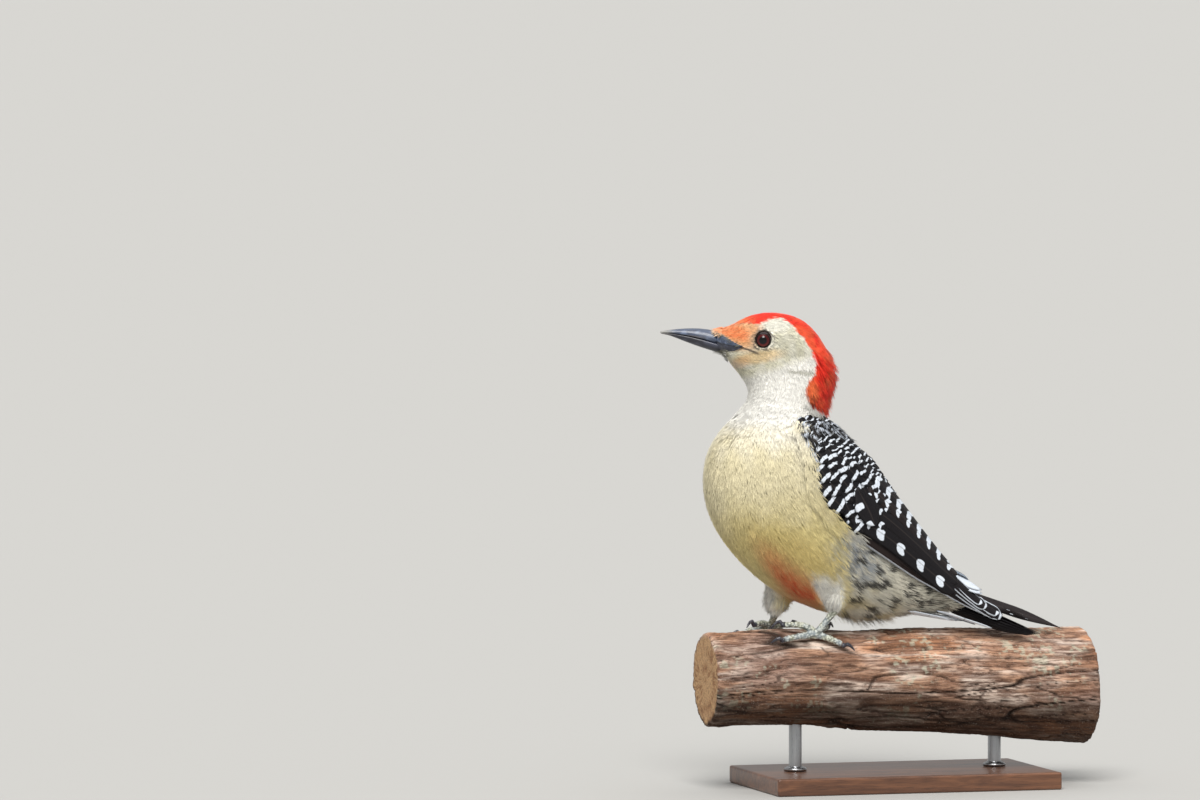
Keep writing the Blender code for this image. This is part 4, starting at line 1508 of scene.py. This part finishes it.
# White feathers over and under the root of the tail: root, tip (behind the trunk's front end,
# above its lowest point, off its middle), width. All in millimetres.
RUMP = (
    ((104.0, 21.0, 10.0), (128.0, 9.6, 10.4), 9.0),
    ((104.0, 24.0, 8.4), (130.5, 10.8, 9.2), 10.5),
    ((104.0, 26.2, 6.0), (131.0, 12.3, 6.8), 11.5),
    ((103.0, 27.2, 3.0), (129.5, 14.0, 3.6), 11.5),
    ((102.0, 27.6, 0.0), (127.5, 15.8, 0.6), 11.5),
)
UNDER = (
    ((108.0, 4.0, 11.0), (134.4, -4.6, 12.2), 2.4),
    ((94.0, 4.0, 11.0), (114.8, -0.6, 10.0), 3.4),
    ((96.0, 3.0, 5.0), (120.0, -1.4, 4.0), 4.6),
    ((98.0, 3.0, 0.0), (124.0, -1.8, 0.0), 4.6),
)


def make_rump():
    """The white feathers over and under the root of the tail."""
    vanes = Vanes()
    told = marks(rim=1.0, shade=0.97, bars=2.0, half=0.5)
    front = np.array((TRUNK_LOW[0], MIDDLE_Y, TRUNK_LOW[2]))
    for side in SIDES.values():
        for rows, lift in ((RUMP, 1.0), (UNDER, -1.0)):
            for root, tip, width in rows:
                places = [front + np.array((b, side * off, h)) * MM for b, h, off in (root, tip)]
                free_vane(vanes, *places, (0.2, side * 0.35, lift), width, told, rows=14,
                          camber=0.5, point=2.6, from_share=0.68)
    vanes.piece("tail_coverts", vane_material("covert_vanes", shaft_shows=0.06), "tail_feathers")


# ---------------------------------------------------------------- eyes

PUPIL, IRIS, OPENING, LID_OUTER = 1.75, 3.05, 3.2, 4.9
EYE_RINGS, EYE_STEPS, LID_RINGS = 56, 72, 7
EYE_TURNED = 0.10
BULGE = 0.03
# The lid: how far out the look for the skin starts and where the skin lies if there is none
# beneath; the hump of the lid; and the granules on it, how high and how far each ring of them
# is turned from the last.
LID_LOOK, NO_SKIN = 9.0, 2.5
LID_HUMP = 0.34
GRANULES, GRANULE_HIGH, GRANULE_TURN = 24, 0.09, 2.1
IRIS_RED, IRIS_DARK = linear(82, 12, 14), linear(44, 6, 9)
IRIS_LIT, IRIS_RIM = linear(150, 44, 34), linear(26, 8, 8)
PUPIL_BLACK = linear(3, 3, 5)
LID_GREY, LID_DARK, LID_LINE = linear(150, 144, 134), linear(44, 40, 42), linear(24, 18, 18)


def ring_faces(rings, steps, closed=False):
    """Quads between rings of points; closed joins the last ring to the first."""
    ids = np.arange(rings * steps).reshape(rings, steps)
    low, high = ids, np.roll(ids, -1, axis=0)
    if not closed:
        low, high = low[:-1], high[:-1]
    corners = [low, np.roll(low, -1, axis=1), np.roll(high, -1, axis=1), high]
    return np.stack(corners, axis=-1).reshape(-1, 4)


class EyePlace:
    """Where an eye is, which way it looks, and the spokes round it."""

    def __init__(self, name, side):
        low, high = corners_of(f"eye_{name}")
        self.middle, self.radius = (low + high) / 2, float((high - low)[2] / 2) / MM
        self.axis = unit(HEAD_LEFT * -side + HEAD_FORWARD * EYE_TURNED)
        self.up = unit(UP - self.axis * (UP @ self.axis))
        self.across = np.cross(self.axis, self.up)
        self.phi = np.arange(EYE_STEPS) / EYE_STEPS * 2 * math.pi
        self.spokes = np.cos(self.phi)[:, None] * self.up + np.sin(self.phi)[:, None] * self.across


def facing_out(faces, places, axis):
    """The faces, turned over if the first of them doesn't look along the axis."""
    first, second, third = places[faces[0][:3]]
    return faces[:, ::-1] if np.cross(second - first, third - first) @ axis < 0 else faces


def make_eyeball(eye, name, gloss):
    theta = np.linspace(0.01, math.radians(165), EYE_RINGS)
    bulge = eye.radius * (1 + BULGE * smooth(0.85, 0.2, theta))
    points = (
        (np.cos(theta) * bulge)[:, None, None] * eye.axis
        + (np.sin(theta) * bulge)[:, None, None] * eye.spokes[None]
    ).reshape(-1, 3)
    away = np.repeat(np.where(theta > 1.57, 9.0, np.sin(theta) * eye.radius), EYE_STEPS)
    places = eye.middle + points * MM
    tint = painted(
        IRIS_RED,
        (IRIS_DARK, 0.7 * cloud(points, 0.35, 31)),
        (IRIS_LIT, 0.3 * smooth(0.0, -2.5, points @ eye.up)),
        (IRIS_RIM, smooth(IRIS - 0.55, IRIS, away)),
        (PUPIL_BLACK, smooth(PUPIL + 0.15, PUPIL - 0.15, away)),
    )
    front = np.arange(EYE_STEPS)[None]
    ball = (ring_faces(EYE_RINGS, EYE_STEPS), front)
    faces = [facing_out(f, places, eye.axis) for f in ball]
    eyeball = build(f"eyeball_{name}", places, faces, {"Tint": tint})
    finish_piece(eyeball, gloss, (f"eye_{name}",))


def make_lid(eye, name, surface, lid_skin):
    """The rim of bare skin round an eye, a closed ring of granules."""
    phi, axis, rings = eye.phi, eye.axis, []
    to_back = -np.sin(phi) * np.sign(HEAD_FORWARD @ eye.across)
    for k, r in enumerate(np.linspace(OPENING, LID_OUTER, LID_RINGS)):
        share = k / (LID_RINGS - 1)
        oval = r * (1 + 0.03 * np.abs(np.sin(phi)) - 0.04 * np.abs(np.cos(phi)))
        oval = oval + 0.35 * share * smooth(0.9, 1.0, to_back)
        base = eye.middle + eye.spokes * (oval * MM)[:, None]
        outside = base + axis * LID_LOOK * MM
        found = [surface.tree.ray_cast(Vector(p), Vector(-axis)) for p in outside]
        skin = np.array([LID_LOOK - f[3] / MM if f[0] is not None else NO_SKIN for f in found])
        on_ball = math.sqrt(max(eye.radius ** 2 - min(r, eye.radius - 0.05) ** 2, 0.0)) + 0.12
        hump = LID_HUMP * math.sin(math.pi * min(1.0, share * 0.9 + 0.1))
        bead = GRANULE_HIGH * np.sin(phi * GRANULES + k * GRANULE_TURN) * math.sin(math.pi * share)
        height = on_ball * (1 - share) + (skin + 0.15) * share + hump + bead
        rings.append(base + axis * (height * MM)[:, None])
    rings += [rings[-1] - axis * 1.2 * MM, rings[0] - axis * 1.0 * MM]
    number = np.repeat(np.arange(len(rings)), EYE_STEPS)
    dots = 0.5 + 0.5 * np.sin(np.tile(phi, len(rings)) * GRANULES + number * GRANULE_TURN)
    tint = painted(LID_GREY, (LID_DARK, 0.9 * dots), (LID_LINE, smooth(1.4, 0.2, number)))
    faces = (ring_faces(len(rings), EYE_STEPS, True),)
    finish_piece(build(f"lid_{name}", np.concatenate(rings), faces, {"Tint": tint}), lid_skin)


def make_eyes(surface):
    gloss = Nodes("eye_gloss", roughness=0.25, Coat_Weight=0.55, Coat_Roughness=0.02)
    gloss.set(gloss.shader, Specular_IOR_Level=0.1)
    gloss = gloss.tinted()
    lid_skin = Nodes("lid_skin", roughness=0.5)
    lid_skin.bump(lid_skin.noise(0.35), 0.12, 0.8)
    lid_skin = lid_skin.tinted()
    for name, side in SIDES.items():
        eye = EyePlace(name, side)
        make_eyeball(eye, name, gloss)
        make_lid(eye, name, surface, lid_skin)


# ---------------------------------------------------------------- bill, feet, claws

INSIDE_END = 2e-5
NEAR_RING = 4e-3
FROM_OUTSIDE = 0.1


def lofted_copy(name, along, up, steps, around, ease=1.0):
    """The node's own surface sampled on even rings: points (steps, around, 3), plus the
    middle of each ring. ease above 1 brings the rings closer together at the far end."""
    surface = Surface(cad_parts[name].data)
    along, up = unit(np.array(along, float)), unit(np.array(up, float))
    side = np.cross(along, up)
    reach = surface.points @ along
    shares = 1 - (1 - np.linspace(0, 1, steps)) ** ease
    span_length = reach.max() - reach.min() - 2 * INSIDE_END
    phi = np.arange(around) / around * 2 * math.pi
    spokes = np.cos(phi)[:, None] * up + np.sin(phi)[:, None] * side
    rings, middles = [], []
    for span in reach.min() + INSIDE_END + span_length * shares:
        near = surface.points[np.abs(reach - span) < NEAR_RING]
        start = near.mean(0) if len(near) else surface.points.mean(0)
        start = start + along * (span - start @ along)
        top = surface.tree.ray_cast(Vector(start + up * FROM_OUTSIDE), Vector(-up))
        low = surface.tree.ray_cast(Vector(start - up * FROM_OUTSIDE), Vector(up))
        if top[0] is None or low[0] is None:
            middle = middles[-1] + along * (span - middles[-1] @ along) if middles else start
        else:
            middle = (np.array(top[0]) + np.array(low[0])) / 2
        hits = [surface.tree.ray_cast(Vector(middle), Vector(s)) for s in spokes]
        rings.append([np.array(h[0]) if h[0] is not None else middle for h in hits])
        middles.append(middle)
    return np.array(rings), np.array(middles)


def softened(rings, rounds):
    """Rings with the facets of the model rounded away."""
    for _ in range(rounds):
        rings = 0.5 * rings + 0.25 * (np.roll(rings, 1, axis=1) + np.roll(rings, -1, axis=1))
        inner = 0.5 * rings[1:-1] + 0.25 * (rings[:-2] + rings[2:])
        rings = np.concatenate([rings[:1], inner, rings[-1:]])
    return rings


def capped(rings, middles):
    """Points and faces of a closed tube of rings, each end drawn to its middle."""
    count, around = rings.shape[:2]
    points = np.concatenate([rings.reshape(-1, 3), middles[:1], middles[-1:]])
    sides = ring_faces(count, around)
    ids = np.arange(around)
    first = np.stack([np.roll(ids, -1), ids, np.full(around, count * around)], axis=1)
    last = ids + (count - 1) * around
    last = np.stack([last, np.roll(last, -1), np.full(around, count * around + 1)], axis=1)
    edge = rings[1, 0] - rings[0, 0]
    out = np.cross(rings[0, 1] - rings[0, 0], edge) @ (rings[0, 0] - middles[0])
    if out < 0:
        sides, first, last = sides[:, ::-1], first[:, ::-1], last[:, ::-1]
    return points, (sides, np.concatenate([first, last]))


BILL_ROOT, BILL_MEETING = 4.0, 0.2
BILL_STEPS, BILL_AROUND = 64, 40
HORN_SLATE, HORN_STREAK_SHEEN, HORN_RIDGE = linear(70, 80, 102), linear(116, 130, 156), linear(48, 52, 62)
HORN_TIP, HORN_EDGE = linear(168, 166, 158), linear(150, 140, 130)
LOWER_DARK, LOWER_GREY = linear(38, 38, 48), linear(86, 88, 104)
LOWER_TIP, LOWER_BLUE = linear(140, 136, 134), linear(84, 90, 112)


def horn_material():
    horn = Nodes("horn", roughness=0.36, Coat_Weight=0.12, Coat_Roughness=0.25)
    grain = horn.noise(0.9, horn.places((0.16, 1.0, 1.0)), detail=4.0)
    horn.bump(grain, 0.12, 0.5)
    tint = horn.tint()
    return horn.done(horn.mix(horn.ramp(grain, 0.35, 0.7, 0.0, 0.35), tint, linear(24, 24, 30)))


def horn_tint(points, lower):
    """Slate blue above and darker below, streaked along the bill with paler horn that is partly its own
    streaking and partly painted sheen, and pale at its tip.
    """
    f, u, out = face_map(points)
    lumps = cloud(points, (3.0 * MM, 0.8 * MM, 0.8 * MM), 41)
    cutting_edge = smooth(0.9, 0.2, np.abs(u - 0.06 * (f - 20.0) - 0.4))
    high = painted(
        HORN_SLATE,
        # pale blue streaks: partly the horn's own streaking, partly painted sheen
        (HORN_STREAK_SHEEN, 0.7 * smooth(0.45, 0.9, lumps)),
        (HORN_RIDGE, 0.6 * smooth(0.9, 0.0, out) * smooth(2.5, 4.0, u)),
        (HORN_TIP, 0.85 * smooth(39.0, 46.0, f)),
        (HORN_EDGE, 0.5 * cutting_edge * smooth(22.0, 34.0, f)),
    )
    low = painted(
        LOWER_DARK,
        (LOWER_GREY, 0.6 * smooth(0.5, 0.9, lumps)),
        (LOWER_TIP, 0.7 * smooth(41.0, 46.5, f)),
        (LOWER_BLUE, 0.4 * smooth(30.0, 22.0, f) * smooth(-4.6, -2.0, u)),
    )
    return blend(high, low, lower)


GAPE_ROWS, GAPE_COLUMNS, GAPE_THICKNESS = 30, 13, 1.2
GAPE_SUNK, GAPE_SINKS_FROM = 0.6, 18.6
SEAM_SHADE = linear(18, 18, 22)


def make_gape(muzzle, horn):
    """The horn at the corners of the mouth, which lies against the face behind the bill."""
    f = np.linspace(GAPE_FORWARD[0], GAPE_FORWARD[-1], GAPE_ROWS)
    low, top = (np.interp(f, GAPE_FORWARD, limit) for limit in (GAPE_LOW, GAPE_TOP))
    u = low[:, None] + (top - low)[:, None] * np.linspace(0, 1, GAPE_COLUMNS)
    for name, side in SIDES.items():
        outward = HEAD_LEFT * -side
        flat = EYE_MIDDLE + outward * 25 * MM + (f * MM)[:, None, None] * HEAD_FORWARD
        flat = flat + (u * MM)[..., None] * UP
        places, normals, _ = muzzle.along(flat.reshape(-1, 3), -outward)
        lumps = cloud(places, (2.0 * MM, 0.7 * MM, 0.7 * MM), 42)
        sunk = GAPE_SUNK * smooth(GAPE_SINKS_FROM, GAPE_FORWARD[-1], face_map(places)[0])
        lift = (-0.10 + 0.12 * lumps - sunk) * MM
        grid = (places + normals * lift[:, None]).reshape(flat.shape)
        points, faces = slab(grid, normals.reshape(flat.shape), GAPE_THICKNESS)
        forward, above, _ = face_map(points)
        over = above - np.interp(forward, GAPE_FORWARD, GAPE_SEAM)
        tint = horn_tint(points, smooth(0.3, -0.3, over))
        # painted shade in the gap where the two halves of the bill meet
        tint = blend(tint, SEAM_SHADE, 0.9 * smooth(0.5, 0.15, np.abs(over)))
        piece = build(f"gape_{name}", points, (faces,), {"Tint": tint})
        finish_piece(piece, horn)


def make_bill(horn):
    """The two halves of the bill, each with a root that runs back into the head."""
    for name in ("bill_upper", "bill_lower"):
        lower = name == "bill_lower"
        rings, middles = lofted_copy(name, HEAD_FORWARD, UP, BILL_STEPS, BILL_AROUND, ease=1.3)
        rings = softened(rings, 2)
        meets = UP * (1.0 if lower else -1.0)
        facing = np.clip(unit(rings - middles[:, None]) @ meets, 0, 1)
        rings = rings + meets * (facing * BILL_MEETING * MM)[..., None]
        # the rings of the root are a little narrower, the further back the more
        back = [
            (middles[0] + (rings[0] - middles[0]) * (1 - 0.1 * share)
             - HEAD_FORWARD * share * BILL_ROOT * MM)
            for share in (1.0, 0.75, 0.5, 0.25)
        ]
        rings = np.concatenate([back, rings])
        start = middles[0] - HEAD_FORWARD * BILL_ROOT * MM
        middles = np.concatenate([[start] * len(back), middles])
        points, faces = capped(rings, middles)
        tint = horn_tint(points, np.full(len(points), float(lower)))
        piece = build(name.replace("bill", "mandible"), points, faces, {"Tint": tint})
        finish_piece(piece, horn, (name,))


SCALE_SEAM, SCALE_PALE = linear(104, 110, 108), linear(206, 210, 200)
SCALE_BLUE, SCALE_OLIVE = linear(150, 160, 168), linear(190, 188, 150)
CLAW_DARK, CLAW_GREY = linear(46, 46, 56), linear(104, 104, 112)
FOOT_VOXEL, CLAW_VOXEL = 0.36, 0.22
# How far the scales stand above the seams, and the seams lie below the foot's own surface.
SCALE_RELIEF, SEAM_DEPTH = 0.20, 0.10


def fused_arrays(names, voxel):
    """Points, triangles and point normals of the named nodes fused into one surface."""
    mesh = fused(names, voxel=voxel, rounds=1)
    made = arrays(mesh)
    bpy.data.meshes.remove(mesh)
    return made


def make_feet():
    scales = Nodes("toe_scales", roughness=0.55)
    scales.bump(scales.noise(0.5), 0.1, 0.6)
    scales = scales.tinted()
    nail = Nodes("claw_horn", roughness=0.3, Coat_Weight=0.3, Coat_Roughness=0.15).tinted()
    for name in SIDES:
        points, triangles, normals = fused_arrays((f"foot_{name}",), FOOT_VOXEL)
        gap = spots(points, (0.95 * MM, 1.25 * MM, 0.95 * MM), 51)
        broad = cloud(points, 2.2 * MM, 52)
        lift = SCALE_RELIEF * smooth(0.62, 0.25, gap) - SEAM_DEPTH
        tint = painted(
            SCALE_SEAM,
            (SCALE_PALE, smooth(0.66, 0.34, gap)),
            (SCALE_BLUE, 0.5 * smooth(0.4, 0.8, broad)),
            (SCALE_OLIVE, 0.25 * smooth(0.6, 0.2, broad)),
        )
        raised = points + normals * (lift * MM)[:, None]
        foot = build(f"scaled_foot_{name}", raised, (triangles,), {"Tint": tint})
        finish_piece(foot, scales, (f"foot_{name}",))
        nodes = tuple(f"claw_{name}_{k}" for k in range(1, 5))
        points, triangles, _ = fused_arrays(nodes, CLAW_VOXEL)
        tint = blend(CLAW_DARK, CLAW_GREY, 0.6 * smooth(0.4, 0.8, cloud(points, 1.2 * MM, 53)))
        claws = build(f"claws_{name}", points, (triangles,), {"Tint": tint})
        finish_piece(claws, nail, nodes)


# ---------------------------------------------------------------- branch and stand

BARK, BARK_PALE, BARK_ORANGE = linear(186, 146, 120), linear(224, 202, 186), linear(210, 144, 98)
BARK_GREY, GRAIN_PALE, GRAIN_DARK = linear(160, 136, 126), linear(226, 210, 196), linear(92, 64, 50)
PLATE_EDGE_SHADE, FLAKE, CRACK_SHADE = linear(84, 56, 44), linear(120, 84, 66), linear(34, 25, 21)
LICHEN = linear(200, 204, 182)
SAWN, YEAR_RING = linear(198, 160, 118), linear(150, 108, 74)
UNDERSIDE_SHADE = np.array((0.22, 0.21, 0.20))
PLATE_LEVELS = 7.0


def ridge(points, size, seed):
    """1 along thin winding lines of the noise, falling to 0 between them."""
    return 1 - np.abs(2 * cloud(points, size, seed) - 1)


def bark(points, out):
    """Depth of the weathering, in millimetres, and the wood's colour at each point, with painted shade
    in the cracks, at the plates' edges and on the underside.
    """
    p = points / MM
    bend = [7.0 * cloud(p, (52, 30, 30), seed) for seed in (61, 62)]
    q = p + np.stack([np.zeros(len(p)), *bend], axis=1)
    plates = cloud(q, (60, 10, 10), 63) * 0.7 + cloud(q, (20, 4.2, 4.2), 64) * 0.3
    levels = plates * PLATE_LEVELS
    step = (np.floor(levels) + smooth(0.30, 0.70, levels % 1.0)) / PLATE_LEVELS
    edge = smooth(0.10, 0.34, levels % 1.0) * smooth(0.62, 0.40, levels % 1.0)
    crack = smooth(0.945, 0.99, ridge(q, (95, 9, 9), 65))
    crack = np.maximum(crack, 0.7 * smooth(0.955, 0.995, ridge(q, (46, 4.6, 4.6), 66)))
    split = smooth(0.93, 0.99, ridge(q, (26, 1.9, 1.9), 67)) * smooth(0.40, 0.65, cloud(q, 13, 68))
    grain = cloud(q, (16, 0.75, 0.75), 69)
    rough = cloud(p, 1.1, 70)
    flakes = smooth(0.5, 0.58, cloud(q, (9, 3.2, 3.2), 77))
    depth = (1.9 * (1 - smooth(0.25, 0.8, step)) + 1.4 * crack + 0.4 * split + 0.28 * grain
             + 0.25 * rough + 0.3 * flakes)
    area = cloud(q, (34, 14, 14), 71)
    patch = cloud(q, (16, 4.0, 4.0), 72)
    growth = (smooth(0.60, 0.68, cloud(p, 5.0, 73) * 0.5 + cloud(p, 1.3, 74) * 0.5)
              * smooth(0.45, 0.6, cloud(p, 24.0, 75)))
    tint = painted(
        BARK,
        (BARK_PALE, smooth(0.40, 0.72, patch)),
        (BARK_ORANGE, 0.6 * smooth(0.55, 0.8, area)),
        (BARK_GREY, 0.7 * smooth(0.48, 0.2, area)),
        (GRAIN_PALE, 0.9 * smooth(0.60, 0.85, grain) * smooth(0.3, 0.7, patch)),
        (GRAIN_DARK, 0.85 * smooth(0.48, 0.2, grain)),
        # painted shade at the foot of each plate's edge
        (PLATE_EDGE_SHADE, 0.6 * edge),
        (FLAKE, 0.35 * flakes),
        # painted shade in the cracks and splits
        (CRACK_SHADE, 0.95 * np.maximum(crack, 0.7 * split)),
        (LICHEN, 0.5 * growth * (1 - crack)),
    )
    # painted shade: the underside of the branch is darker
    under = smooth(0.06, -0.52, out[:, 2] + 0.25 * (cloud(p, (20, 6, 6), 78) - 0.5))
    return depth, blend(tint, tint * UNDERSIDE_SHADE, under)


def branch_material():
    wood = Nodes("weathered_wood", roughness=0.82)
    wood.set(wood.shader, Specular_IOR_Level=0.2)
    fine = wood.noise(0.55, wood.places((0.10, 1.0, 1.0)), detail=5.0, rough=0.65)
    specks = wood.noise(0.5, detail=4.0, rough=0.7)
    tint = wood.tint()
    # darker in the fine grooves that the bump below sinks: painted shade
    colour = wood.mix(wood.ramp(fine, 0.56, 0.36, 0.0, 0.7), tint, linear(68, 46, 36))
    colour = wood.mix(wood.ramp(specks, 0.56, 0.75, 0.0, 0.45), colour, linear(230, 216, 202))
    wood.bump(wood.plus(fine, wood.times(specks, 0.6)), 0.35, 0.9)
    return wood.done(colour)


PERCH_STEPS, PERCH_AROUND = 372, 256
# Rings of the sawn ends, as shares of the way out from the middle.
END_RINGS = (0.92, 0.8, 0.64, 0.46, 0.26, 0.1)
HELD_NEAR, HELD_FAR, HELD_SMOOTHER = 12.0, 26.0, 0.62


def make_perch():
    """The branch: the model's own surface, weathered, with year rings on its sawn ends."""
    rings, middles = lofted_copy("perch", (1, 0, 0), UP, PERCH_STEPS, PERCH_AROUND)
    rings = softened(rings, 6)
    spokes = unit(rings - middles[:, None])
    depth, tint = bark(rings.reshape(-1, 3), spokes.reshape(-1, 3))
    depth = depth.reshape(rings.shape[:2])
    for name in SIDES:
        low, high = corners_of(f"foot_{name}")
        middle = (low + high) / 2
        away = np.hypot(rings[..., 0] - middle[0], rings[..., 1] - middle[1]) / MM
        held = smooth(HELD_FAR, HELD_NEAR, away) * (spokes[..., 2] > 0)
        depth = depth * (1 - HELD_SMOOTHER * held)
    ends = np.minimum(rings[..., 0] - rings[0, 0, 0], rings[-1, 0, 0] - rings[..., 0]) / MM
    depth = depth + 0.7 * smooth(1.2, 0.0, ends)
    worn = rings - spokes * (depth * MM)[..., None]
    caps = [
        [middles[k] + (worn[k] - middles[k]) * share for share in END_RINGS] for k in (0, -1)
    ]
    whole = np.concatenate([caps[0][::-1], worn, caps[1]])
    points, faces = capped(whole, np.concatenate([middles[:1], middles, middles[-1:]]))
    extra = len(END_RINGS) * PERCH_AROUND
    sawn = np.concatenate([points[:extra], points[-extra - 2 : -2], points[-2:]])
    radius = np.hypot(sawn[:, 1] - middles[0][1], sawn[:, 2] - middles[0][2]) / MM
    year = np.sin(radius * 4.4 + 3.0 * cloud(sawn / MM, 9.0, 76))
    face = blend(SAWN, YEAR_RING, smooth(0.2, 0.9, year))
    tints = np.concatenate([face[:extra], tint, face[extra : 2 * extra], face[-2:]])
    perch = build("branch", points, faces, {"Tint": tints})
    finish_piece(perch, branch_material(), ("perch",))


ROD_IN_WOOD = 4.0
ROD_STEPS = 64
# The foot of a rod: height in millimetres and width as a share of the rod's own.
ROD_FOOT = ((0.0, 1.75), (0.9, 1.75), (1.4, 1.62), (1.9, 1.2), (2.2, 1.0))
BEVEL = 1.3


def make_plinth():
    wood = Nodes("stand_wood", roughness=0.42, Coat_Weight=0.35, Coat_Roughness=0.2)
    figure = wood.noise(5.0, wood.places((0.10, 1.0, 1.0)), detail=6.0, rough=0.6, distortion=1.2)
    pores = wood.noise(0.5, wood.places((0.06, 1.0, 1.0)), detail=3.0)
    colour = wood.mix(wood.ramp(figure, 0.30, 0.70), linear(78, 48, 32), linear(122, 80, 54))
    colour = wood.mix(wood.ramp(pores, 0.50, 0.30, 0.0, 0.5), colour, linear(44, 27, 19))
    wood.bump(pores, 0.06, 0.5)
    low, high = corners_of("stand_base")
    block = bmesh.new()
    bmesh.ops.create_cube(block, size=1.0)
    for vertex in block.verts:
        vertex.co = Vector((low + high) / 2) + Vector(np.array(vertex.co) * (high - low))
    bmesh.ops.bevel(block, geom=block.edges[:], offset=BEVEL * MM, segments=5, affect="EDGES",
                    profile=0.6)
    mesh = bpy.data.meshes.new("plinth")
    block.to_mesh(mesh)
    block.free()
    mesh.polygons.foreach_set("use_smooth", np.ones(len(mesh.polygons), bool))
    plinth = placed("plinth", mesh)
    plinth.modifiers.new("weighted", "WEIGHTED_NORMAL")
    finish_piece(plinth, wood.done(colour), ("stand_base",))


def make_rods():
    steel = Nodes("stand_steel", roughness=0.3, Metallic=1.0)
    brushed = steel.noise(0.6, steel.places((1.0, 1.0, 0.05)), detail=3.0)
    steel.set(steel.shader, Roughness=steel.ramp(brushed, 0.3, 0.7, 0.24, 0.42))
    steel = steel.done(steel.mix(brushed, linear(150, 152, 156), linear(196, 198, 200)))
    phi = np.arange(ROD_STEPS) / ROD_STEPS * 2 * math.pi
    for name in ("stand_rod_front", "stand_rod_back"):
        low, high = corners_of(name)
        middle, radius = (low + high) / 2, (high - low)[0] / 2
        heights = [low[2] + h * MM for h, _ in ROD_FOOT] + [high[2] + ROD_IN_WOOD * MM]
        sizes = [radius * r for _, r in ROD_FOOT] + [radius]
        rings = np.array([
            [(middle[0] + r * math.cos(a), middle[1] + r * math.sin(a), z) for a in phi]
            for z, r in zip(heights, sizes)
        ])
        centres = np.array([(middle[0], middle[1], z) for z in heights])
        rod = build(name.replace("stand_", "steel_"), *capped(rings, centres))
        rod.modifiers.new("weighted", "WEIGHTED_NORMAL")
        finish_piece(rod, steel, (name,))


# ---------------------------------------------------------------- studio

# The camera stands to the bird's left, a little in front of square on and just above level.
CAMERA_TURN, CAMERA_RISE = -16.0, 3.0
FRAME_WIDTH = 552.0
AIM_RIGHT, AIM_UP = -135.7, 177.56
LENS, SENSOR = 300.0, 36.0
NEAREST, FURTHEST = 0.05, 200.0
FLOOR_HALF = 90.0
LAMPS_AIM = Vector((-0.03, 0.0, 0.14))


def make_camera():
    """A long lens that frames the bird and leaves room in front of it."""
    turn, rise = math.radians(CAMERA_TURN), math.radians(CAMERA_RISE)
    right = Vector((math.cos(turn), math.sin(turn), 0.0))
    toward = Vector((math.sin(turn) * math.cos(rise), -math.cos(turn) * math.cos(rise), math.sin(rise)))
    up = toward.cross(right)
    aim = (right * AIM_RIGHT + up * AIM_UP) * MM
    camera = placed("camera", bpy.data.cameras.new("camera"))
    camera.data.lens, camera.data.sensor_width = LENS, SENSOR
    camera.data.clip_start, camera.data.clip_end = NEAREST, FURTHEST
    camera.location = aim + toward * (FRAME_WIDTH * MM * LENS / SENSOR)
    camera.rotation_euler = (math.pi / 2 - rise, 0.0, turn)
    bpy.context.scene.camera = camera


def lamp(name, place, strength, spread, colour):
    """Light from far away, so that the floor is even, softened by its spread in degrees."""
    light = placed(name, bpy.data.lights.new(name, "SUN"))
    light.data.energy, light.data.color = strength, colour
    light.data.angle = math.radians(spread)
    light.location = place
    light.rotation_euler = (LAMPS_AIM - Vector(place)).to_track_quat("-Z", "Y").to_euler()


def make_studio():
    half = FLOOR_HALF
    corners = np.array([(-half, -half, 0), (half, -half, 0), (half, half, 0), (-half, half, 0)])
    floor = build("floor", corners, (np.array([[0, 1, 2, 3]]),))
    n = Nodes("floor_paper", roughness=0.85)
    floor.data.materials.append(n.done(linear(177, 176, 173)))
    lamp("key", (-0.50, -1.15, 1.6), 3.3, 30.0, (1.0, 0.985, 0.96))
    lamp("sky", (0.1, 0.35, 1.5), 1.0, 60.0, (0.97, 0.985, 1.0))
    world = bpy.data.worlds.new("studio")
    bpy.context.scene.world = world
    world.use_nodes = True
    background = world.node_tree.nodes["Background"].inputs
    background["Color"].default_value = (0.80, 0.80, 0.79, 1.0)
    background["Strength"].default_value = 0.55
    bpy.context.scene.view_settings.view_transform = "Standard"


# ---------------------------------------------------------------- making it all

WING_NODES = ("wing_left", "wing_right", "flight_feathers_left", "flight_feathers_right")
LEG_NODES = ("trunk", "thigh_left", "thigh_right", "foot_left", "foot_right")
MUZZLE_NODES = ("head", "bill_upper", "bill_lower")
COAT_SEED = 11

make_camera()
make_studio()
FORM = Surface(moved_in(
    fused((*FLESH, *WING_NODES), voxel=0.9, inflate=0.5, rounds=4), shoulder_hollow
))
WINGS = Surface(fused(WING_NODES, voxel=0.9, inflate=0.5))
SKIN = make_skin()
MUZZLE = Surface(fused(MUZZLE_NODES, voxel=0.55, inflate=0.3, rounds=24))
LEGS = Surface(moved_in(fused(LEG_NODES, voxel=0.8, rounds=3), under_coat))
COAT = Coat(plumage_material("soft_feathers", 0.62, 0.12), np.random.default_rng(COAT_SEED))
make_coat(COAT, SKIN, WINGS)
make_muzzle(COAT, MUZZLE)
make_fluff(COAT, SKIN, LEGS)
make_wings(FORM)
make_edging(COAT, FORM)
make_shoulders(COAT, FORM)
make_tail()
make_rump()
make_eyes(SKIN)
HORN = horn_material()
make_gape(MUZZLE, HORN)
make_bill(HORN)
make_feet()
make_perch()
make_plinth()
make_rods()
